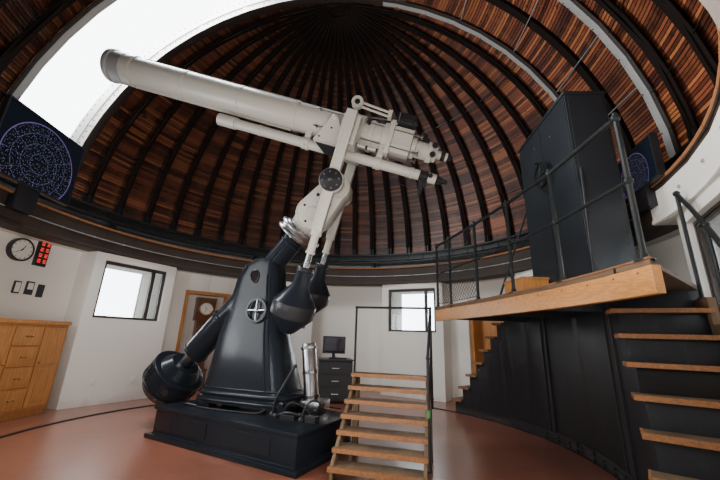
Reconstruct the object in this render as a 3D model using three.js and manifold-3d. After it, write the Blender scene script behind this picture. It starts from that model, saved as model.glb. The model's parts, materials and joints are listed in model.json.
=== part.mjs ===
// Observatory dome: a round drum of masonry with a boarded rotating dome, a slit with two shutter leaves,
// and the large refractor, stairs and furniture that stand inside it.
// Millimetres, +Z up, origin at ground level in the middle of the drum. The slit looks along -X.
import * as THREE from 'three';
import { mergeVertices } from 'three/addons/utils/BufferGeometryUtils.js';
import Module from 'manifold-3d';

const wasm = await Module();
wasm.setup();

// Driving dimensions of the building
const GAP = 0.3;
const FLOOR_TOP = 300;
const DRUM_R = 4900;
const PLINTH_COURSE_R = 4960;
const RECESS_R = 4450;
const BLOCK_FACE = 4000;
const BLOCK_HALF_ANGLE = 10.5;
const BAYS = 8;
const BAY_ANGLE = 360 / BAYS;
const FIRST_WINDOW = 20;
const WALL_TOP = FLOOR_TOP + 2500;
const WINDOW_WIDTH = 1150;
const WINDOW_SILL = FLOOR_TOP + 1380;
const WINDOW_HEAD = FLOOR_TOP + 2380;
const DOOR_BAY_ANGLE = 42.5;
const CLOCK_BAY_ANGLE = 132.5;
const CUPBOARD_BAY_ANGLE = 177.5;
const DOOR_WIDTH = 1000;
const DOOR_HEAD = FLOOR_TOP + 2120;
const BEAM_TOP = FLOOR_TOP + 2920;
const CORNICE_R = 5080;
const RAIL_R = 4520;
const RAIL_TOP = BEAM_TOP + 70;

// Driving dimensions of the dome
const DOME_Z = 3500;
const GIRDER_BOTTOM = RAIL_TOP + 70;
const GIRDER_TOP = 3650;
const GIRDER_INNER = 4360;
const GIRDER_OUTER = 4690;
const RIB_INNER = 4480;
const BOARD_INNER = 4600;
const SKIN_OUTER = 4650;
const ARCH_INNER = 4450;
const SLIT_HALF = 600;
const SLIT_PAST_ZENITH = 15;
const CHEEK_WIDTH = 90;
const CHEEK_OUTER = 4820;
const RIBS_A_HALF = 24;
const LEAF_INNER = 4850;
const LEAF_OUTER = 4890;
const LEAF_WIDTH = 720;
const LEAF_CLEARANCE = 80;

// Driving dimensions of the telescope
const PIVOT = [325, -98];
const AXES_Z = 3490;
const POLAR_AZIMUTH = -16.8;
const LATITUDE = 47.65;
const HOUR_ANGLE = 21.7;
const DECLINATION_TURN = -24.7;
const TUBE_LIFT = 846;
const TUBE_R = 205;
const TUBE_FRONT = -3750;
const TUBE_REAR = 470;
const ARM_SIDE = 585;
const WEIGHT_DROP = 1640;
const WEIGHT_R = 262;

const rad = (degrees) => (degrees * Math.PI) / 180;

const finish = (color, roughness, metalness) =>
  new THREE.MeshStandardMaterial({ color, roughness, metalness });

const plaster = finish(0xd9d3cb, 0.85, 0);
const screed = finish(0x7d3f2e, 0.3, 0);
const fascia = finish(0x3a2a25, 0.6, 0);
const darkSteel = finish(0x1c2422, 0.45, 0.7);
const boards = finish(0x5a2a1c, 0.55, 0);
const ribTimber = finish(0x1d1210, 0.6, 0);
const zinc = finish(0x9aa0a2, 0.45, 0.8);
const whitePaint = finish(0xe6e6e0, 0.5, 0.2);
const ivory = finish(0xd8d2c2, 0.35, 0.3);
const blackGloss = finish(0x14171c, 0.2, 0.5);
const steel = finish(0xb8bcc0, 0.2, 1);
const pine = finish(0xb9793a, 0.45, 0);
const stairTimber = finish(0x8a6a48, 0.6, 0);
const blackPaint = finish(0x16161a, 0.45, 0.1);
const frameDark = finish(0x2b2422, 0.5, 0.1);
const dialWhite = finish(0xe9e6dc, 0.5, 0);
const screenBlack = finish(0x05070a, 0.15, 0);

// Turns a geometry into a closed solid with its faces pointing out
function solid(geometry) {
  const bare = geometry.index ? geometry.toNonIndexed() : geometry.clone();
  bare.deleteAttribute('normal');
  bare.deleteAttribute('uv');
  const merged = mergeVertices(bare, 1e-3);
  const position = merged.attributes.position;
  const index = Array.from(merged.index.array);
  const corner = (i) => new THREE.Vector3().fromBufferAttribute(position, index[i]);
  const kept = [];
  let volume = 0;
  for (let i = 0; i < index.length; i += 3) {
    if (index[i] === index[i + 1] || index[i + 1] === index[i + 2] || index[i] === index[i + 2]) continue;
    kept.push(index[i], index[i + 1], index[i + 2]);
    volume += corner(i).dot(corner(i + 1).cross(corner(i + 2)));
  }
  if (volume < 0) kept.reverse();
  return new wasm.Manifold(new wasm.Mesh({
    numProp: 3,
    vertProperties: new Float32Array(position.array),
    triVerts: new Uint32Array(kept),
  }));
}

function geometryOf(shape) {
  const mesh = shape.getMesh();
  const geometry = new THREE.BufferGeometry();
  const points = new Float32Array((mesh.vertProperties.length / mesh.numProp) * 3);
  for (let i = 0; i < points.length / 3; i += 1) {
    for (let k = 0; k < 3; k += 1) points[i * 3 + k] = mesh.vertProperties[i * mesh.numProp + k];
  }
  geometry.setAttribute('position', new THREE.BufferAttribute(points, 3));
  geometry.setIndex(new THREE.BufferAttribute(new Uint32Array(mesh.triVerts), 1));
  geometry.computeVertexNormals();
  return geometry;
}

const joined = (...shapes) => shapes.reduce((whole, shape) => whole.add(shape));

function place(parent, name, shape, material) {
  const mesh = new THREE.Mesh(geometryOf(shape), material);
  mesh.name = name;
  parent.add(mesh);
  return mesh;
}

function frameAt(parent, { position = [0, 0, 0], turnX = 0, turnY = 0, turnZ = 0 } = {}) {
  const group = new THREE.Group();
  group.position.set(...position);
  group.rotation.set(rad(turnX), rad(turnY), rad(turnZ));
  parent.add(group);
  return group;
}

// A box between two corners
function block([x0, y0, z0], [x1, y1, z1]) {
  const geometry = new THREE.BoxGeometry(x1 - x0, y1 - y0, z1 - z0);
  return solid(geometry.translate((x0 + x1) / 2, (y0 + y1) / 2, (z0 + z1) / 2));
}

// A round bar from one point to another, with an optional smaller or larger far end
function bar(from, to, radius, sides = 12, farRadius = radius) {
  const a = new THREE.Vector3(...from);
  const b = new THREE.Vector3(...to);
  const along = b.clone().sub(a);
  const geometry = new THREE.CylinderGeometry(farRadius, radius, along.length(), sides);
  const turn = new THREE.Quaternion().setFromUnitVectors(new THREE.Vector3(0, 1, 0), along.normalize());
  geometry.applyQuaternion(turn);
  return solid(geometry.translate((a.x + b.x) / 2, (a.y + b.y) / 2, (a.z + b.z) / 2));
}

// A profile of [radius, height] points turned about Z; a ring's profile closes on itself
function turned(profile, sides = 48) {
  const closes = profile[0][0] > 0 && profile.at(-1)[0] > 0;
  const points = (closes ? [...profile, profile[0]] : profile).map(([r, z]) => new THREE.Vector2(r, z));
  return solid(new THREE.LatheGeometry(points, sides).rotateX(Math.PI / 2));
}

const ring = (inner, outer, z0, z1, sides = 48) =>
  turned([[inner, z0], [outer, z0], [outer, z1], [inner, z1]], sides);

// A plan outline of [x, y] points raised from z0 to z1
function raised(outline, z0, z1) {
  const shape = new THREE.Shape(outline.map(([x, y]) => new THREE.Vector2(x, y)));
  return solid(new THREE.ExtrudeGeometry(shape, { depth: z1 - z0, bevelEnabled: false }).translate(0, 0, z0));
}

function arcPoints(radius, from, to, steps) {
  const points = [];
  for (let i = 0; i <= steps; i += 1) {
    const angle = rad(from + ((to - from) * i) / steps);
    points.push([radius * Math.cos(angle), radius * Math.sin(angle)]);
  }
  return points;
}

const sector = (inner, outer, from, to, z0, z1, steps = 6) =>
  raised([...arcPoints(outer, from, to, steps), ...arcPoints(inner, to, from, steps)], z0, z1);

// An outline in the XZ plane carried from y0 to y1
function upright(outline, y0, y1) {
  return raised(outline, y0, y1).rotate([90, 0, 0]).mirror([0, 1, 0]);
}

const observatory = new THREE.Group();

// Building: floor, walls, windows, doorways and ring beam
const FAR = 9000;
const SIDES = 48;
const GIRDER_SIDES = 36;

const stepStone = block([PLINTH_COURSE_R - 200, -700, 0], [PLINTH_COURSE_R + 400, 700, 150]);
place(observatory, 'floor_slab', turned([[0, 0], [PLINTH_COURSE_R, 0], [PLINTH_COURSE_R, FLOOR_TOP - 40],
  [DRUM_R, FLOOR_TOP], [0, FLOOR_TOP]], SIDES).add(stepStone.rotate([0, 0, DOOR_BAY_ANGLE])), screed);

const turnedPoint = ([x, y], degrees) => [x * Math.cos(rad(degrees)) - y * Math.sin(rad(degrees)),
  x * Math.sin(rad(degrees)) + y * Math.cos(rad(degrees))];

// A quarter of the drum: two window blocks that stand in from the recesses, between two doorway lines
function wallQuarter(number) {
  const middle = FIRST_WINDOW + BAY_ANGLE / 2 + BAY_ANGLE + number * 2 * BAY_ANGLE;
  const half = BAY_ANGLE - (GAP / DRUM_R) * (180 / Math.PI);
  const blockHalf = BLOCK_FACE * Math.tan(rad(BLOCK_HALF_ANGLE));
  const side = BAY_ANGLE / 2;
  const outline = [
    ...arcPoints(DRUM_R, -half, half, 24),
    ...arcPoints(RECESS_R, half, side + BLOCK_HALF_ANGLE, 4),
    turnedPoint([BLOCK_FACE, blockHalf], side),
    turnedPoint([BLOCK_FACE, -blockHalf], side),
    ...arcPoints(RECESS_R, side - BLOCK_HALF_ANGLE, BLOCK_HALF_ANGLE - side, 8),
    turnedPoint([BLOCK_FACE, blockHalf], -side),
    turnedPoint([BLOCK_FACE, -blockHalf], -side),
    ...arcPoints(RECESS_R, -side - BLOCK_HALF_ANGLE, -half, 4),
  ];
  let wall = raised(outline, FLOOR_TOP + GAP, WALL_TOP);
  const hole = block([BLOCK_FACE - 100, -WINDOW_WIDTH / 2, WINDOW_SILL],
    [DRUM_R + 100, WINDOW_WIDTH / 2, WINDOW_HEAD]);
  wall = wall.subtract(hole.rotate([0, 0, side])).subtract(hole.rotate([0, 0, -side]));
  for (const [bay, depth] of [[DOOR_BAY_ANGLE, DRUM_R + 100], [CLOCK_BAY_ANGLE, RECESS_R + 250]]) {
    const head = bay === DOOR_BAY_ANGLE ? WALL_TOP + 100 : DOOR_HEAD;
    const opening = block([RECESS_R - 200, -DOOR_WIDTH / 2, FLOOR_TOP - 100], [depth, DOOR_WIDTH / 2, head]);
    wall = wall.subtract(opening.rotate([0, 0, bay - middle]));
  }
  const frame = frameAt(observatory, { turnZ: middle });
  place(frame, `wall_quarter_${number + 1}`, wall, plaster);
}

function windowBay(number) {
  const frame = frameAt(observatory, { turnZ: FIRST_WINDOW + number * BAY_ANGLE });
  const half = WINDOW_WIDTH / 2 - GAP;
  const bottom = WINDOW_SILL + GAP;
  const top = WINDOW_HEAD - GAP;
  const pane = block([BLOCK_FACE + 90, -half + 50, bottom + 50], [BLOCK_FACE + 98, half - 50, top - 50]);
  const outer = block([BLOCK_FACE + 60, -half, bottom], [BLOCK_FACE + 130, half, top]);
  const hole = block([BLOCK_FACE, -half + 60, bottom + 60], [BLOCK_FACE + 200, half - 60, top - 60]);
  place(frame, `window_${number + 1}`, joined(outer.subtract(hole), pane), frameDark);
}

for (let number = 0; number < BAYS; number += 1) windowBay(number);
for (let number = 0; number < BAYS / 2; number += 1) wallQuarter(number);

// A door casing that lines the sides and head of a doorway
function casing(depthFrom, depthTo, leafRoom) {
  const half = DOOR_WIDTH / 2 - GAP;
  const outer = block([depthFrom, -half, FLOOR_TOP + GAP], [depthTo, half, DOOR_HEAD - GAP]);
  const inner = block([depthFrom - 10, -half + leafRoom, FLOOR_TOP - 10], [depthTo + 10, half - leafRoom,
    DOOR_HEAD - leafRoom]);
  return outer.subtract(inner);
}

const CASING = 70;
const doorway = frameAt(observatory, { turnZ: DOOR_BAY_ANGLE });
const lintelHalf = (Math.asin((DOOR_WIDTH / 2 - GAP) / RECESS_R) * 180) / Math.PI;
const lintel = sector(RECESS_R, DRUM_R, -lintelHalf, lintelHalf, DOOR_HEAD, WALL_TOP, 4).intersect(
  block([RECESS_R - 50, -DOOR_WIDTH / 2 + GAP, 0], [DRUM_R + 50, DOOR_WIDTH / 2 - GAP, WALL_TOP]));
place(doorway, 'door_lintel', lintel, plaster);
place(doorway, 'entrance_casing', casing(RECESS_R + 40, DRUM_R - 60, CASING), pine);
const LEAF_CLEAR = 8;
const leafHalf = DOOR_WIDTH / 2 - CASING - LEAF_CLEAR;
const DOOR_FACE = DRUM_R - 60;
const HINGE_X = DOOR_FACE + 8.6;
const HINGE_Y = -leafHalf - 4;
let doorLeaf = block([DOOR_FACE - 55, -leafHalf, FLOOR_TOP + LEAF_CLEAR],
  [DOOR_FACE - 5, leafHalf, DOOR_HEAD - CASING - LEAF_CLEAR]);
for (const z of [FLOOR_TOP + 250, FLOOR_TOP + 1050, FLOOR_TOP + 1750]) {
  doorLeaf = joined(doorLeaf, bar([HINGE_X, HINGE_Y, z], [HINGE_X, HINGE_Y, z + 90], 9, 16),
    block([DOOR_FACE - 10, -leafHalf + 1, z + 5], [HINGE_X, -leafHalf + 12, z + 85]));
}
place(doorway, 'entrance_door', doorLeaf, pine);

const clockBay = frameAt(observatory, { turnZ: CLOCK_BAY_ANGLE });
place(clockBay, 'clock_niche_casing', casing(RECESS_R - 30, RECESS_R + 240, CASING), pine);
const clockCase = joined(
  block([RECESS_R + 10, -210, FLOOR_TOP + GAP], [RECESS_R + 235, 210, FLOOR_TOP + 420]),
  block([RECESS_R + 40, -150, FLOOR_TOP + 400], [RECESS_R + 230, 150, FLOOR_TOP + 1500]),
  block([RECESS_R + 10, -200, FLOOR_TOP + 1480], [RECESS_R + 235, 200, FLOOR_TOP + 1960]),
  bar([RECESS_R + 12, 0, FLOOR_TOP + 1740], [RECESS_R - 4, 0, FLOOR_TOP + 1740], 150, 24),
);
place(clockBay, 'tall_clock', clockCase, finish(0x3b1d12, 0.4, 0));

const beamProfile = [[BLOCK_FACE, WALL_TOP + GAP], [DRUM_R, WALL_TOP + GAP], [DRUM_R, BEAM_TOP - 260],
  [DRUM_R + 70, BEAM_TOP - 200], [DRUM_R + 70, BEAM_TOP - 90], [CORNICE_R, BEAM_TOP - 50],
  [CORNICE_R, BEAM_TOP], [BLOCK_FACE, BEAM_TOP]];
place(observatory, 'ring_beam', turned(beamProfile, SIDES), fascia);
place(observatory, 'dome_rail', ring(RAIL_R - 35, RAIL_R + 35, BEAM_TOP + GAP, RAIL_TOP, SIDES), darkSteel);

// Furniture on the floor
const CUPBOARD_HEIGHT = 1300;
const cupboardBay = frameAt(observatory, { turnZ: CUPBOARD_BAY_ANGLE });
const cupboard = joined(
  block([RECESS_R - 510, -640, FLOOR_TOP + 80], [RECESS_R - 60, 640, FLOOR_TOP + CUPBOARD_HEIGHT - 30]),
  block([RECESS_R - 480, -620, FLOOR_TOP + GAP], [RECESS_R - 60, 620, FLOOR_TOP + 90]),
  block([RECESS_R - 530, -660, FLOOR_TOP + CUPBOARD_HEIGHT - 40],
    [RECESS_R - 60, 660, FLOOR_TOP + CUPBOARD_HEIGHT]),
);
place(cupboardBay, 'cupboard', cupboard, pine);
const wallClockFrame = frameAt(observatory, { turnZ: CUPBOARD_BAY_ANGLE, position: [0, 0, FLOOR_TOP + 2300] });
place(wallClockFrame, 'wall_clock', bar([RECESS_R - 5.4, 0, 0], [RECESS_R - 65, 0, 0], 170, 32), dialWhite);

const deskFrame = frameAt(observatory, { position: [60, 2850, FLOOR_TOP], turnZ: 12 });
place(deskFrame, 'instrument_cabinet', joined(
  block([-330, -300, GAP], [330, 300, 780]),
  block([-250, -30, 900], [190, 20, 1220]),
  block([-60, -20, 790], [0, 10, 910]),
  block([-150, -90, 770], [90, 90, 800]),
), blackPaint);

// Star chart displays hung from the ring beam
const SCREEN_THICK = 60;
function display(name, angle, width, height, z) {
  const frame = frameAt(observatory, { turnZ: angle });
  const back = Math.sqrt((BLOCK_FACE - 12) ** 2 - (width / 2) ** 2);
  const screen = block([back - SCREEN_THICK, -width / 2, z], [back, width / 2, z + height]);
  const bracket = block([back - 20, -150, BEAM_TOP - 240], [BLOCK_FACE + 20, 150, BEAM_TOP - 60]).subtract(
    ring(BLOCK_FACE - GAP, DRUM_R, WALL_TOP, BEAM_TOP + 100, SIDES).rotate([0, 0, -angle]));
  const riser = block([back - SCREEN_THICK, -150, BEAM_TOP - 240], [back - 12, 150, z + 60]);
  place(frame, name, joined(screen, bracket, riser), screenBlack);
}
display('display_left', 186, 1300, 1000, BEAM_TOP + 100);
display('display_right', -11, 860, 500, BEAM_TOP - 20);

// Small wooden steps with an iron handrail
const STEP_COUNT = 7;
const STEPS_WIDTH = 860;
const STEPS_RISE = 830;
const STEPS_RUN = 800;
const steps = frameAt(observatory, { position: [930, -1110, FLOOR_TOP], turnZ: 79 });
let flight = joined(
  upright([[0, 0], [90, 0], [STEPS_RUN + 20, STEPS_RISE - 130], [STEPS_RUN + 20, STEPS_RISE - 20],
    [STEPS_RUN - 60, STEPS_RISE - 20], [0, 110]], STEPS_WIDTH / 2 - 40, STEPS_WIDTH / 2 - 8),
  upright([[0, 0], [90, 0], [STEPS_RUN + 20, STEPS_RISE - 130], [STEPS_RUN + 20, STEPS_RISE - 20],
    [STEPS_RUN - 60, STEPS_RISE - 20], [0, 110]], -STEPS_WIDTH / 2 + 8, -STEPS_WIDTH / 2 + 40),
);
for (let i = 0; i < STEP_COUNT; i += 1) {
  const z = (STEPS_RISE * (i + 1)) / STEP_COUNT;
  const x = ((STEPS_RUN - 110) * i) / (STEP_COUNT - 1);
  flight = flight.add(block([x - 30, -STEPS_WIDTH / 2, z - 34], [x + 190, STEPS_WIDTH / 2, z]));
}
for (const side of [-1, 1]) {
  const y = side * (STEPS_WIDTH / 2 - 24);
  flight = flight.add(block([STEPS_RUN + 10, y - 30, 0], [STEPS_RUN + 70, y + 30, STEPS_RISE - 10]));
}
const HAND_R = 14;
const railSide = -STEPS_WIDTH / 2 - HAND_R + 2;
const handrail = joined(
  bar([60, railSide, 150], [60, railSide, 1050], HAND_R, 8),
  bar([STEPS_RUN + 40, railSide, 500], [STEPS_RUN + 40, railSide, STEPS_RISE + 740], HAND_R, 8),
  bar([60, railSide, 1050], [STEPS_RUN + 40, railSide, STEPS_RISE + 740], HAND_R, 8),
  bar([STEPS_RUN + 40, railSide, STEPS_RISE + 740], [STEPS_RUN + 40, -railSide, STEPS_RISE + 740], HAND_R, 8),
  bar([STEPS_RUN + 40, -railSide, 500], [STEPS_RUN + 40, -railSide, STEPS_RISE + 752], HAND_R, 8),
);
place(steps, 'small_steps', flight.add(handrail).translate([0, 0, GAP]), stairTimber);

// Floor rail on which the observing stair travels
const FLOOR_RAIL_R = 3300;
const FLOOR_RAIL_TOP = FLOOR_TOP + 12;
place(observatory, 'floor_rail', ring(FLOOR_RAIL_R - 25, FLOOR_RAIL_R + 25, FLOOR_TOP + GAP,
  FLOOR_RAIL_TOP, SIDES), darkSteel);

// Observing stair: a curved base stepped at both ends, lift tower, deck, flights and railings
const DECK_TOP = FLOOR_TOP + 1750;
const DECK_THICK = 40;
const BASE_INNER = 3290;
const BASE_OUTER = 3940;
const BASE_FROM = -19.5;
const BASE_TO = 25;
const STEP_ANGLE = 2.8;
const STEP_COUNT_CURVED = 7;
const TREAD_THICK = 36;
const NOSING_ANGLE = 0.7;
const STRINGER_INNER = 3886;
const STAIR_FOOT = FLOOR_RAIL_TOP + GAP;
const CURVED_RISE = (DECK_TOP - STAIR_FOOT) / (STEP_COUNT_CURVED + 1);
const stair = frameAt(observatory);

// One step of a curved flight: its number down from the deck gives its level and its angles
const endAngle = (side) => (side < 0 ? BASE_FROM : BASE_TO);
const stepLevel = (step) => DECK_TOP - step * CURVED_RISE;
function stepSector(side, step, { inner, outer, bottom, top, past = 0, back = 0 }) {
  const near = endAngle(side) + side * ((step - 1) * STEP_ANGLE - back);
  const far = endAngle(side) + side * (step * STEP_ANGLE + past);
  return sector(inner, outer, Math.min(near, far), Math.max(near, far), bottom, top, 2);
}

const DECK_EDGE = [[1890, 1500], [2320, -60], [2530, -1150], [2600, -1800], [2610, -2260]];
const edgeX = (y) => {
  const i = DECK_EDGE.findIndex((point) => point[1] <= y);
  const [[x0, y0], [x1, y1]] = [DECK_EDGE[i - 1], DECK_EDGE[i]];
  return x0 + ((x1 - x0) * (y - y0)) / (y1 - y0);
};
const BEAM_THICK = 60;
const BEAM_DEPTH = 220;
let stairBase = sector(BASE_INNER, BASE_OUTER, BASE_FROM, BASE_TO, STAIR_FOOT, DECK_TOP - DECK_THICK - GAP, 16);
for (const side of [-1, 1]) {
  for (let step = 1; step <= STEP_COUNT_CURVED; step += 1) {
    stairBase = stairBase.add(stepSector(side, step, { inner: BASE_INNER, outer: STRINGER_INNER - 8,
      bottom: STAIR_FOOT, top: stepLevel(step) - TREAD_THICK - GAP, back: 0.2 }));
  }
}
for (const y of [950, -100, -950]) {
  stairBase = stairBase.add(block([edgeX(y) + BEAM_THICK + 16, y - 35, DECK_TOP - BEAM_DEPTH],
    [BASE_INNER + 160, y + 35, DECK_TOP - DECK_THICK - GAP]));
}
place(stair, 'stair_base', stairBase, blackPaint);

const deckOutline = [...[...DECK_EDGE].reverse(), ...arcPoints(BASE_OUTER, BASE_TO, BASE_FROM, 12)].reverse();
place(stair, 'platform_deck', raised(deckOutline, DECK_TOP - DECK_THICK, DECK_TOP), stairTimber);
const beamBack = DECK_EDGE.map(([x, y]) => [x + BEAM_THICK, y]);
place(stair, 'platform_beam', raised([...DECK_EDGE, ...beamBack.reverse()].reverse(), DECK_TOP - BEAM_DEPTH,
  DECK_TOP - DECK_THICK - GAP), pine);

function curvedFlight(side, name) {
  let whole = null;
  for (let step = 1; step <= STEP_COUNT_CURVED; step += 1) {
    const level = stepLevel(step);
    const tread = stepSector(side, step, { inner: BASE_INNER - 50, outer: BASE_OUTER - 20,
      bottom: level - TREAD_THICK, top: level, past: NOSING_ANGLE, back: -0.02 });
    const stringer = stepSector(side, step, { inner: STRINGER_INNER, outer: BASE_OUTER,
      bottom: Math.max(STAIR_FOOT, level - 280), top: level + 90, past: NOSING_ANGLE, back: -0.02 });
    whole = whole ? joined(whole, tread, stringer) : joined(tread, stringer);
  }
  place(stair, name, whole, stairTimber);
}
curvedFlight(-1, 'right_flight');
curvedFlight(1, 'left_flight');

const TOWER_FACE = 3080;
const TOWER_DEPTH = 460;
const TOWER_TOP = DECK_TOP + 2370;
const wheel = joined(
  ring(150, 175, -12, 12, 24),
  bar([-165, 0, 0], [165, 0, 0], 12, 8),
  bar([0, -165, 0], [0, 165, 0], 12, 8),
  bar([0, 0, -30], [0, 0, 90], 30, 12),
);
place(stair, 'lift_tower', joined(
  block([TOWER_FACE, -930, DECK_TOP + GAP], [TOWER_FACE + TOWER_DEPTH, 380, TOWER_TOP - 20]),
  block([TOWER_FACE - 15, -945, TOWER_TOP - 40], [TOWER_FACE + TOWER_DEPTH + 15, 395, TOWER_TOP]),
  wheel.rotate([0, 90, 0]).translate([TOWER_FACE - 80, -330, DECK_TOP + 1580]),
), blackPaint);

const POST_R = 20;
const RAIL_HEIGHT = 1080;
const posts = [1450, 1000, 250, -520, -1300, -2180].map((y) => [edgeX(y) + 34, y]);
let railing = null;
posts.forEach(([x, y], i) => {
  const post = bar([x, y, DECK_TOP + GAP], [x, y, DECK_TOP + RAIL_HEIGHT + 30], POST_R, 8);
  railing = railing ? railing.add(post) : post;
  if (i === 0) return;
  const [fromX, fromY] = posts[i - 1];
  for (const [height, radius] of [[RAIL_HEIGHT, POST_R], [570, 15]]) {
    railing = railing.add(bar([fromX, fromY, DECK_TOP + height], [x, y, DECK_TOP + height], radius, 8));
  }
});
place(stair, 'platform_railing', railing, darkSteel);

// Pipe handrail along the wall side of the right flight
const PIPE_R = 19;
const PIPE_RADIUS = STRINGER_INNER + 27;
const pipeAt = (angle, height) => [PIPE_RADIUS * Math.cos(rad(angle)), PIPE_RADIUS * Math.sin(rad(angle)),
  DECK_TOP + height + ((angle - BASE_FROM) * CURVED_RISE) / STEP_ANGLE];
let pipe = null;
for (const step of [1, 3, 5, 7]) {
  const angle = BASE_FROM - (step - 0.5) * STEP_ANGLE;
  const [x, y, top] = pipeAt(angle, 950);
  const post = bar([x, y, stepLevel(step) + 90 + GAP], [x, y, top], PIPE_R - 3, 8);
  pipe = pipe ? pipe.add(post) : post;
  if (step === 7) break;
  pipe = joined(pipe, bar(pipeAt(angle, 950), pipeAt(angle - STEP_ANGLE, 950), PIPE_R, 8),
    bar(pipeAt(angle - STEP_ANGLE, 950), pipeAt(angle - 2 * STEP_ANGLE, 950), PIPE_R, 8));
}
place(stair, 'flight_handrail', pipe, darkSteel);

// Telescope mounting
const mounting = frameAt(observatory, { position: [...PIVOT, 0], turnZ: POLAR_AZIMUTH });
const PIER_MIDDLE = -1060;
const BASE_TOP = FLOOR_TOP + 340;
const BASE_HALF = 1060;
const BASE_HALF_DEPTH = 520;
const baseFrame = frameAt(mounting, { position: [-860, -180, 0], turnZ: -8 });
const baseBlock = (margin, from, to) => block([-BASE_HALF - margin, -BASE_HALF_DEPTH - margin, from],
  [BASE_HALF + margin, BASE_HALF_DEPTH + margin, to]);
place(baseFrame, 'pier_base', joined(
  baseBlock(60, FLOOR_TOP + GAP, FLOOR_TOP + 50),
  baseBlock(0, FLOOR_TOP + 40, BASE_TOP - 25),
  baseBlock(20, BASE_TOP - 35, BASE_TOP),
), blackPaint);

// A body of rounded level sections: [height, middle, half length, half depth]
function loft(sections, corners = 24, squareness = 0.55) {
  const positions = [];
  const index = [];
  for (const [z, middle, halfLength, halfDepth] of sections) {
    for (let i = 0; i < corners; i += 1) {
      const angle = (2 * Math.PI * i) / corners;
      const c = Math.cos(angle);
      const s = Math.sin(angle);
      positions.push(middle + halfLength * Math.sign(c) * Math.abs(c) ** squareness,
        halfDepth * Math.sign(s) * Math.abs(s) ** squareness, z);
    }
  }
  for (let row = 0; row + 1 < sections.length; row += 1) {
    for (let i = 0; i < corners; i += 1) {
      const a = row * corners + i;
      const b = row * corners + ((i + 1) % corners);
      index.push(a, b, b + corners, a, b + corners, a + corners);
    }
  }
  const last = (sections.length - 1) * corners;
  for (let i = 1; i + 1 < corners; i += 1) {
    index.push(0, i + 1, i, last, last + i, last + i + 1);
  }
  const geometry = new THREE.BufferGeometry();
  geometry.setAttribute('position', new THREE.BufferAttribute(new Float32Array(positions), 3));
  geometry.setIndex(index);
  return solid(geometry);
}

const pier = loft([
  [BASE_TOP + 50, PIER_MIDDLE + 50, 680, 330],
  [BASE_TOP + 110, PIER_MIDDLE + 48, 672, 322],
  [BASE_TOP + 230, PIER_MIDDLE + 35, 620, 300],
  [BASE_TOP + 330, PIER_MIDDLE + 22, 590, 288],
  [BASE_TOP + 890, PIER_MIDDLE - 40, 480, 214],
  [BASE_TOP + 1130, PIER_MIDDLE - 52, 430, 161],
  [BASE_TOP + 1620, PIER_MIDDLE - 30, 335, 161],
  [BASE_TOP + 1790, PIER_MIDDLE + 15, 260, 161],
  [BASE_TOP + 1880, PIER_MIDDLE + 60, 150, 155],
], 28, 0.42);
let feet = pier;
for (const sideX of [-1, 1]) {
  for (const sideY of [-1, 1]) {
    const x = PIER_MIDDLE + 50 + sideX * 520;
    const y = sideY * 230;
    feet = feet.add(block([x - 100, y - 75, BASE_TOP + GAP], [x + 100, y + 75, BASE_TOP + 120]));
  }
}
const onPolarAxis = (distance) => [distance * Math.cos(rad(LATITUDE)), 0, AXES_Z + distance * Math.sin(rad(LATITUDE))];
const HOUSING_R = 150;
const DRUM_S = -3590;
const housingFrom = onPolarAxis(-3060);
const housingTo = onPolarAxis(-925);
const SHAFT_R = 90;
const SHAFT_SIDES = 40;
const RUNNING = 0.6;
const bearing = feet.add(bar(onPolarAxis(-2500), housingTo, HOUSING_R, 32)).add(bar(housingFrom,
  onPolarAxis(-2400), HOUSING_R + 20, 32));
const bored = bearing.subtract(bar(onPolarAxis(-3200), onPolarAxis(-800), SHAFT_R + RUNNING, SHAFT_SIDES));
const pierWheel = joined(
  ring(132, 156, -12, 12, 24),
  bar([-145, 0, 0], [145, 0, 0], 12, 8),
  bar([0, -145, 0], [0, 145, 0], 12, 8),
  bar([0, 0, -140], [0, 0, 18], 32, 12),
);
const WHEEL_Z = BASE_TOP + 1170;
place(mounting, 'pier', bored.add(pierWheel.rotate([90, 0, 0]).translate([PIER_MIDDLE + 90, -204, WHEEL_Z])),
  blackGloss);
const COLUMN_TOP = BASE_TOP + 780;
place(mounting, 'steel_column', joined(
  bar([-210, 100, BASE_TOP - 60], [-330, 100, COLUMN_TOP], 90, 24),
  block([-320, -60, BASE_TOP + GAP], [-60, 260, BASE_TOP + 130]),
).subtract(block([-FAR, -FAR, 0], [FAR, FAR, BASE_TOP + GAP])), steel);

// Polar axis: its local Z is the axis itself
const polar = frameAt(mounting, { position: [0, 0, AXES_Z], turnY: 90 - LATITUDE });
const hour = frameAt(polar, { turnZ: HOUR_ANGLE });
const CIRCLE_S = -890;
place(hour, 'polar_shaft', joined(
  bar([0, 0, DRUM_S + GAP], [0, 0, -640], SHAFT_R, SHAFT_SIDES),
  bar([0, 0, CIRCLE_S - 30], [0, 0, CIRCLE_S + 10], 150, 24),
  bar([0, 0, CIRCLE_S], [0, 0, CIRCLE_S + 40], 315, 32),
  bar([0, 0, CIRCLE_S + 30], [0, 0, CIRCLE_S + 100], 285, 32),
  bar([0, 0, CIRCLE_S + 90], [0, 0, CIRCLE_S + 130], 315, 32),
), steel);
const shaftBore = (from, to) => bar([0, 0, from], [0, 0, to], SHAFT_R + GAP, SHAFT_SIDES);
place(hour, 'polar_drum', joined(
  bar([0, 0, DRUM_S + 200], [0, 0, DRUM_S + 330], 290, 32, 200),
  bar([0, 0, DRUM_S - 60], [0, 0, DRUM_S + 210], 360, 32),
  bar([0, 0, DRUM_S - 170], [0, 0, DRUM_S - 50], 300, 32, 360),
).subtract(shaftBore(DRUM_S, DRUM_S + 400)), blackGloss);
const HEAD_HALF = 250;
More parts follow.
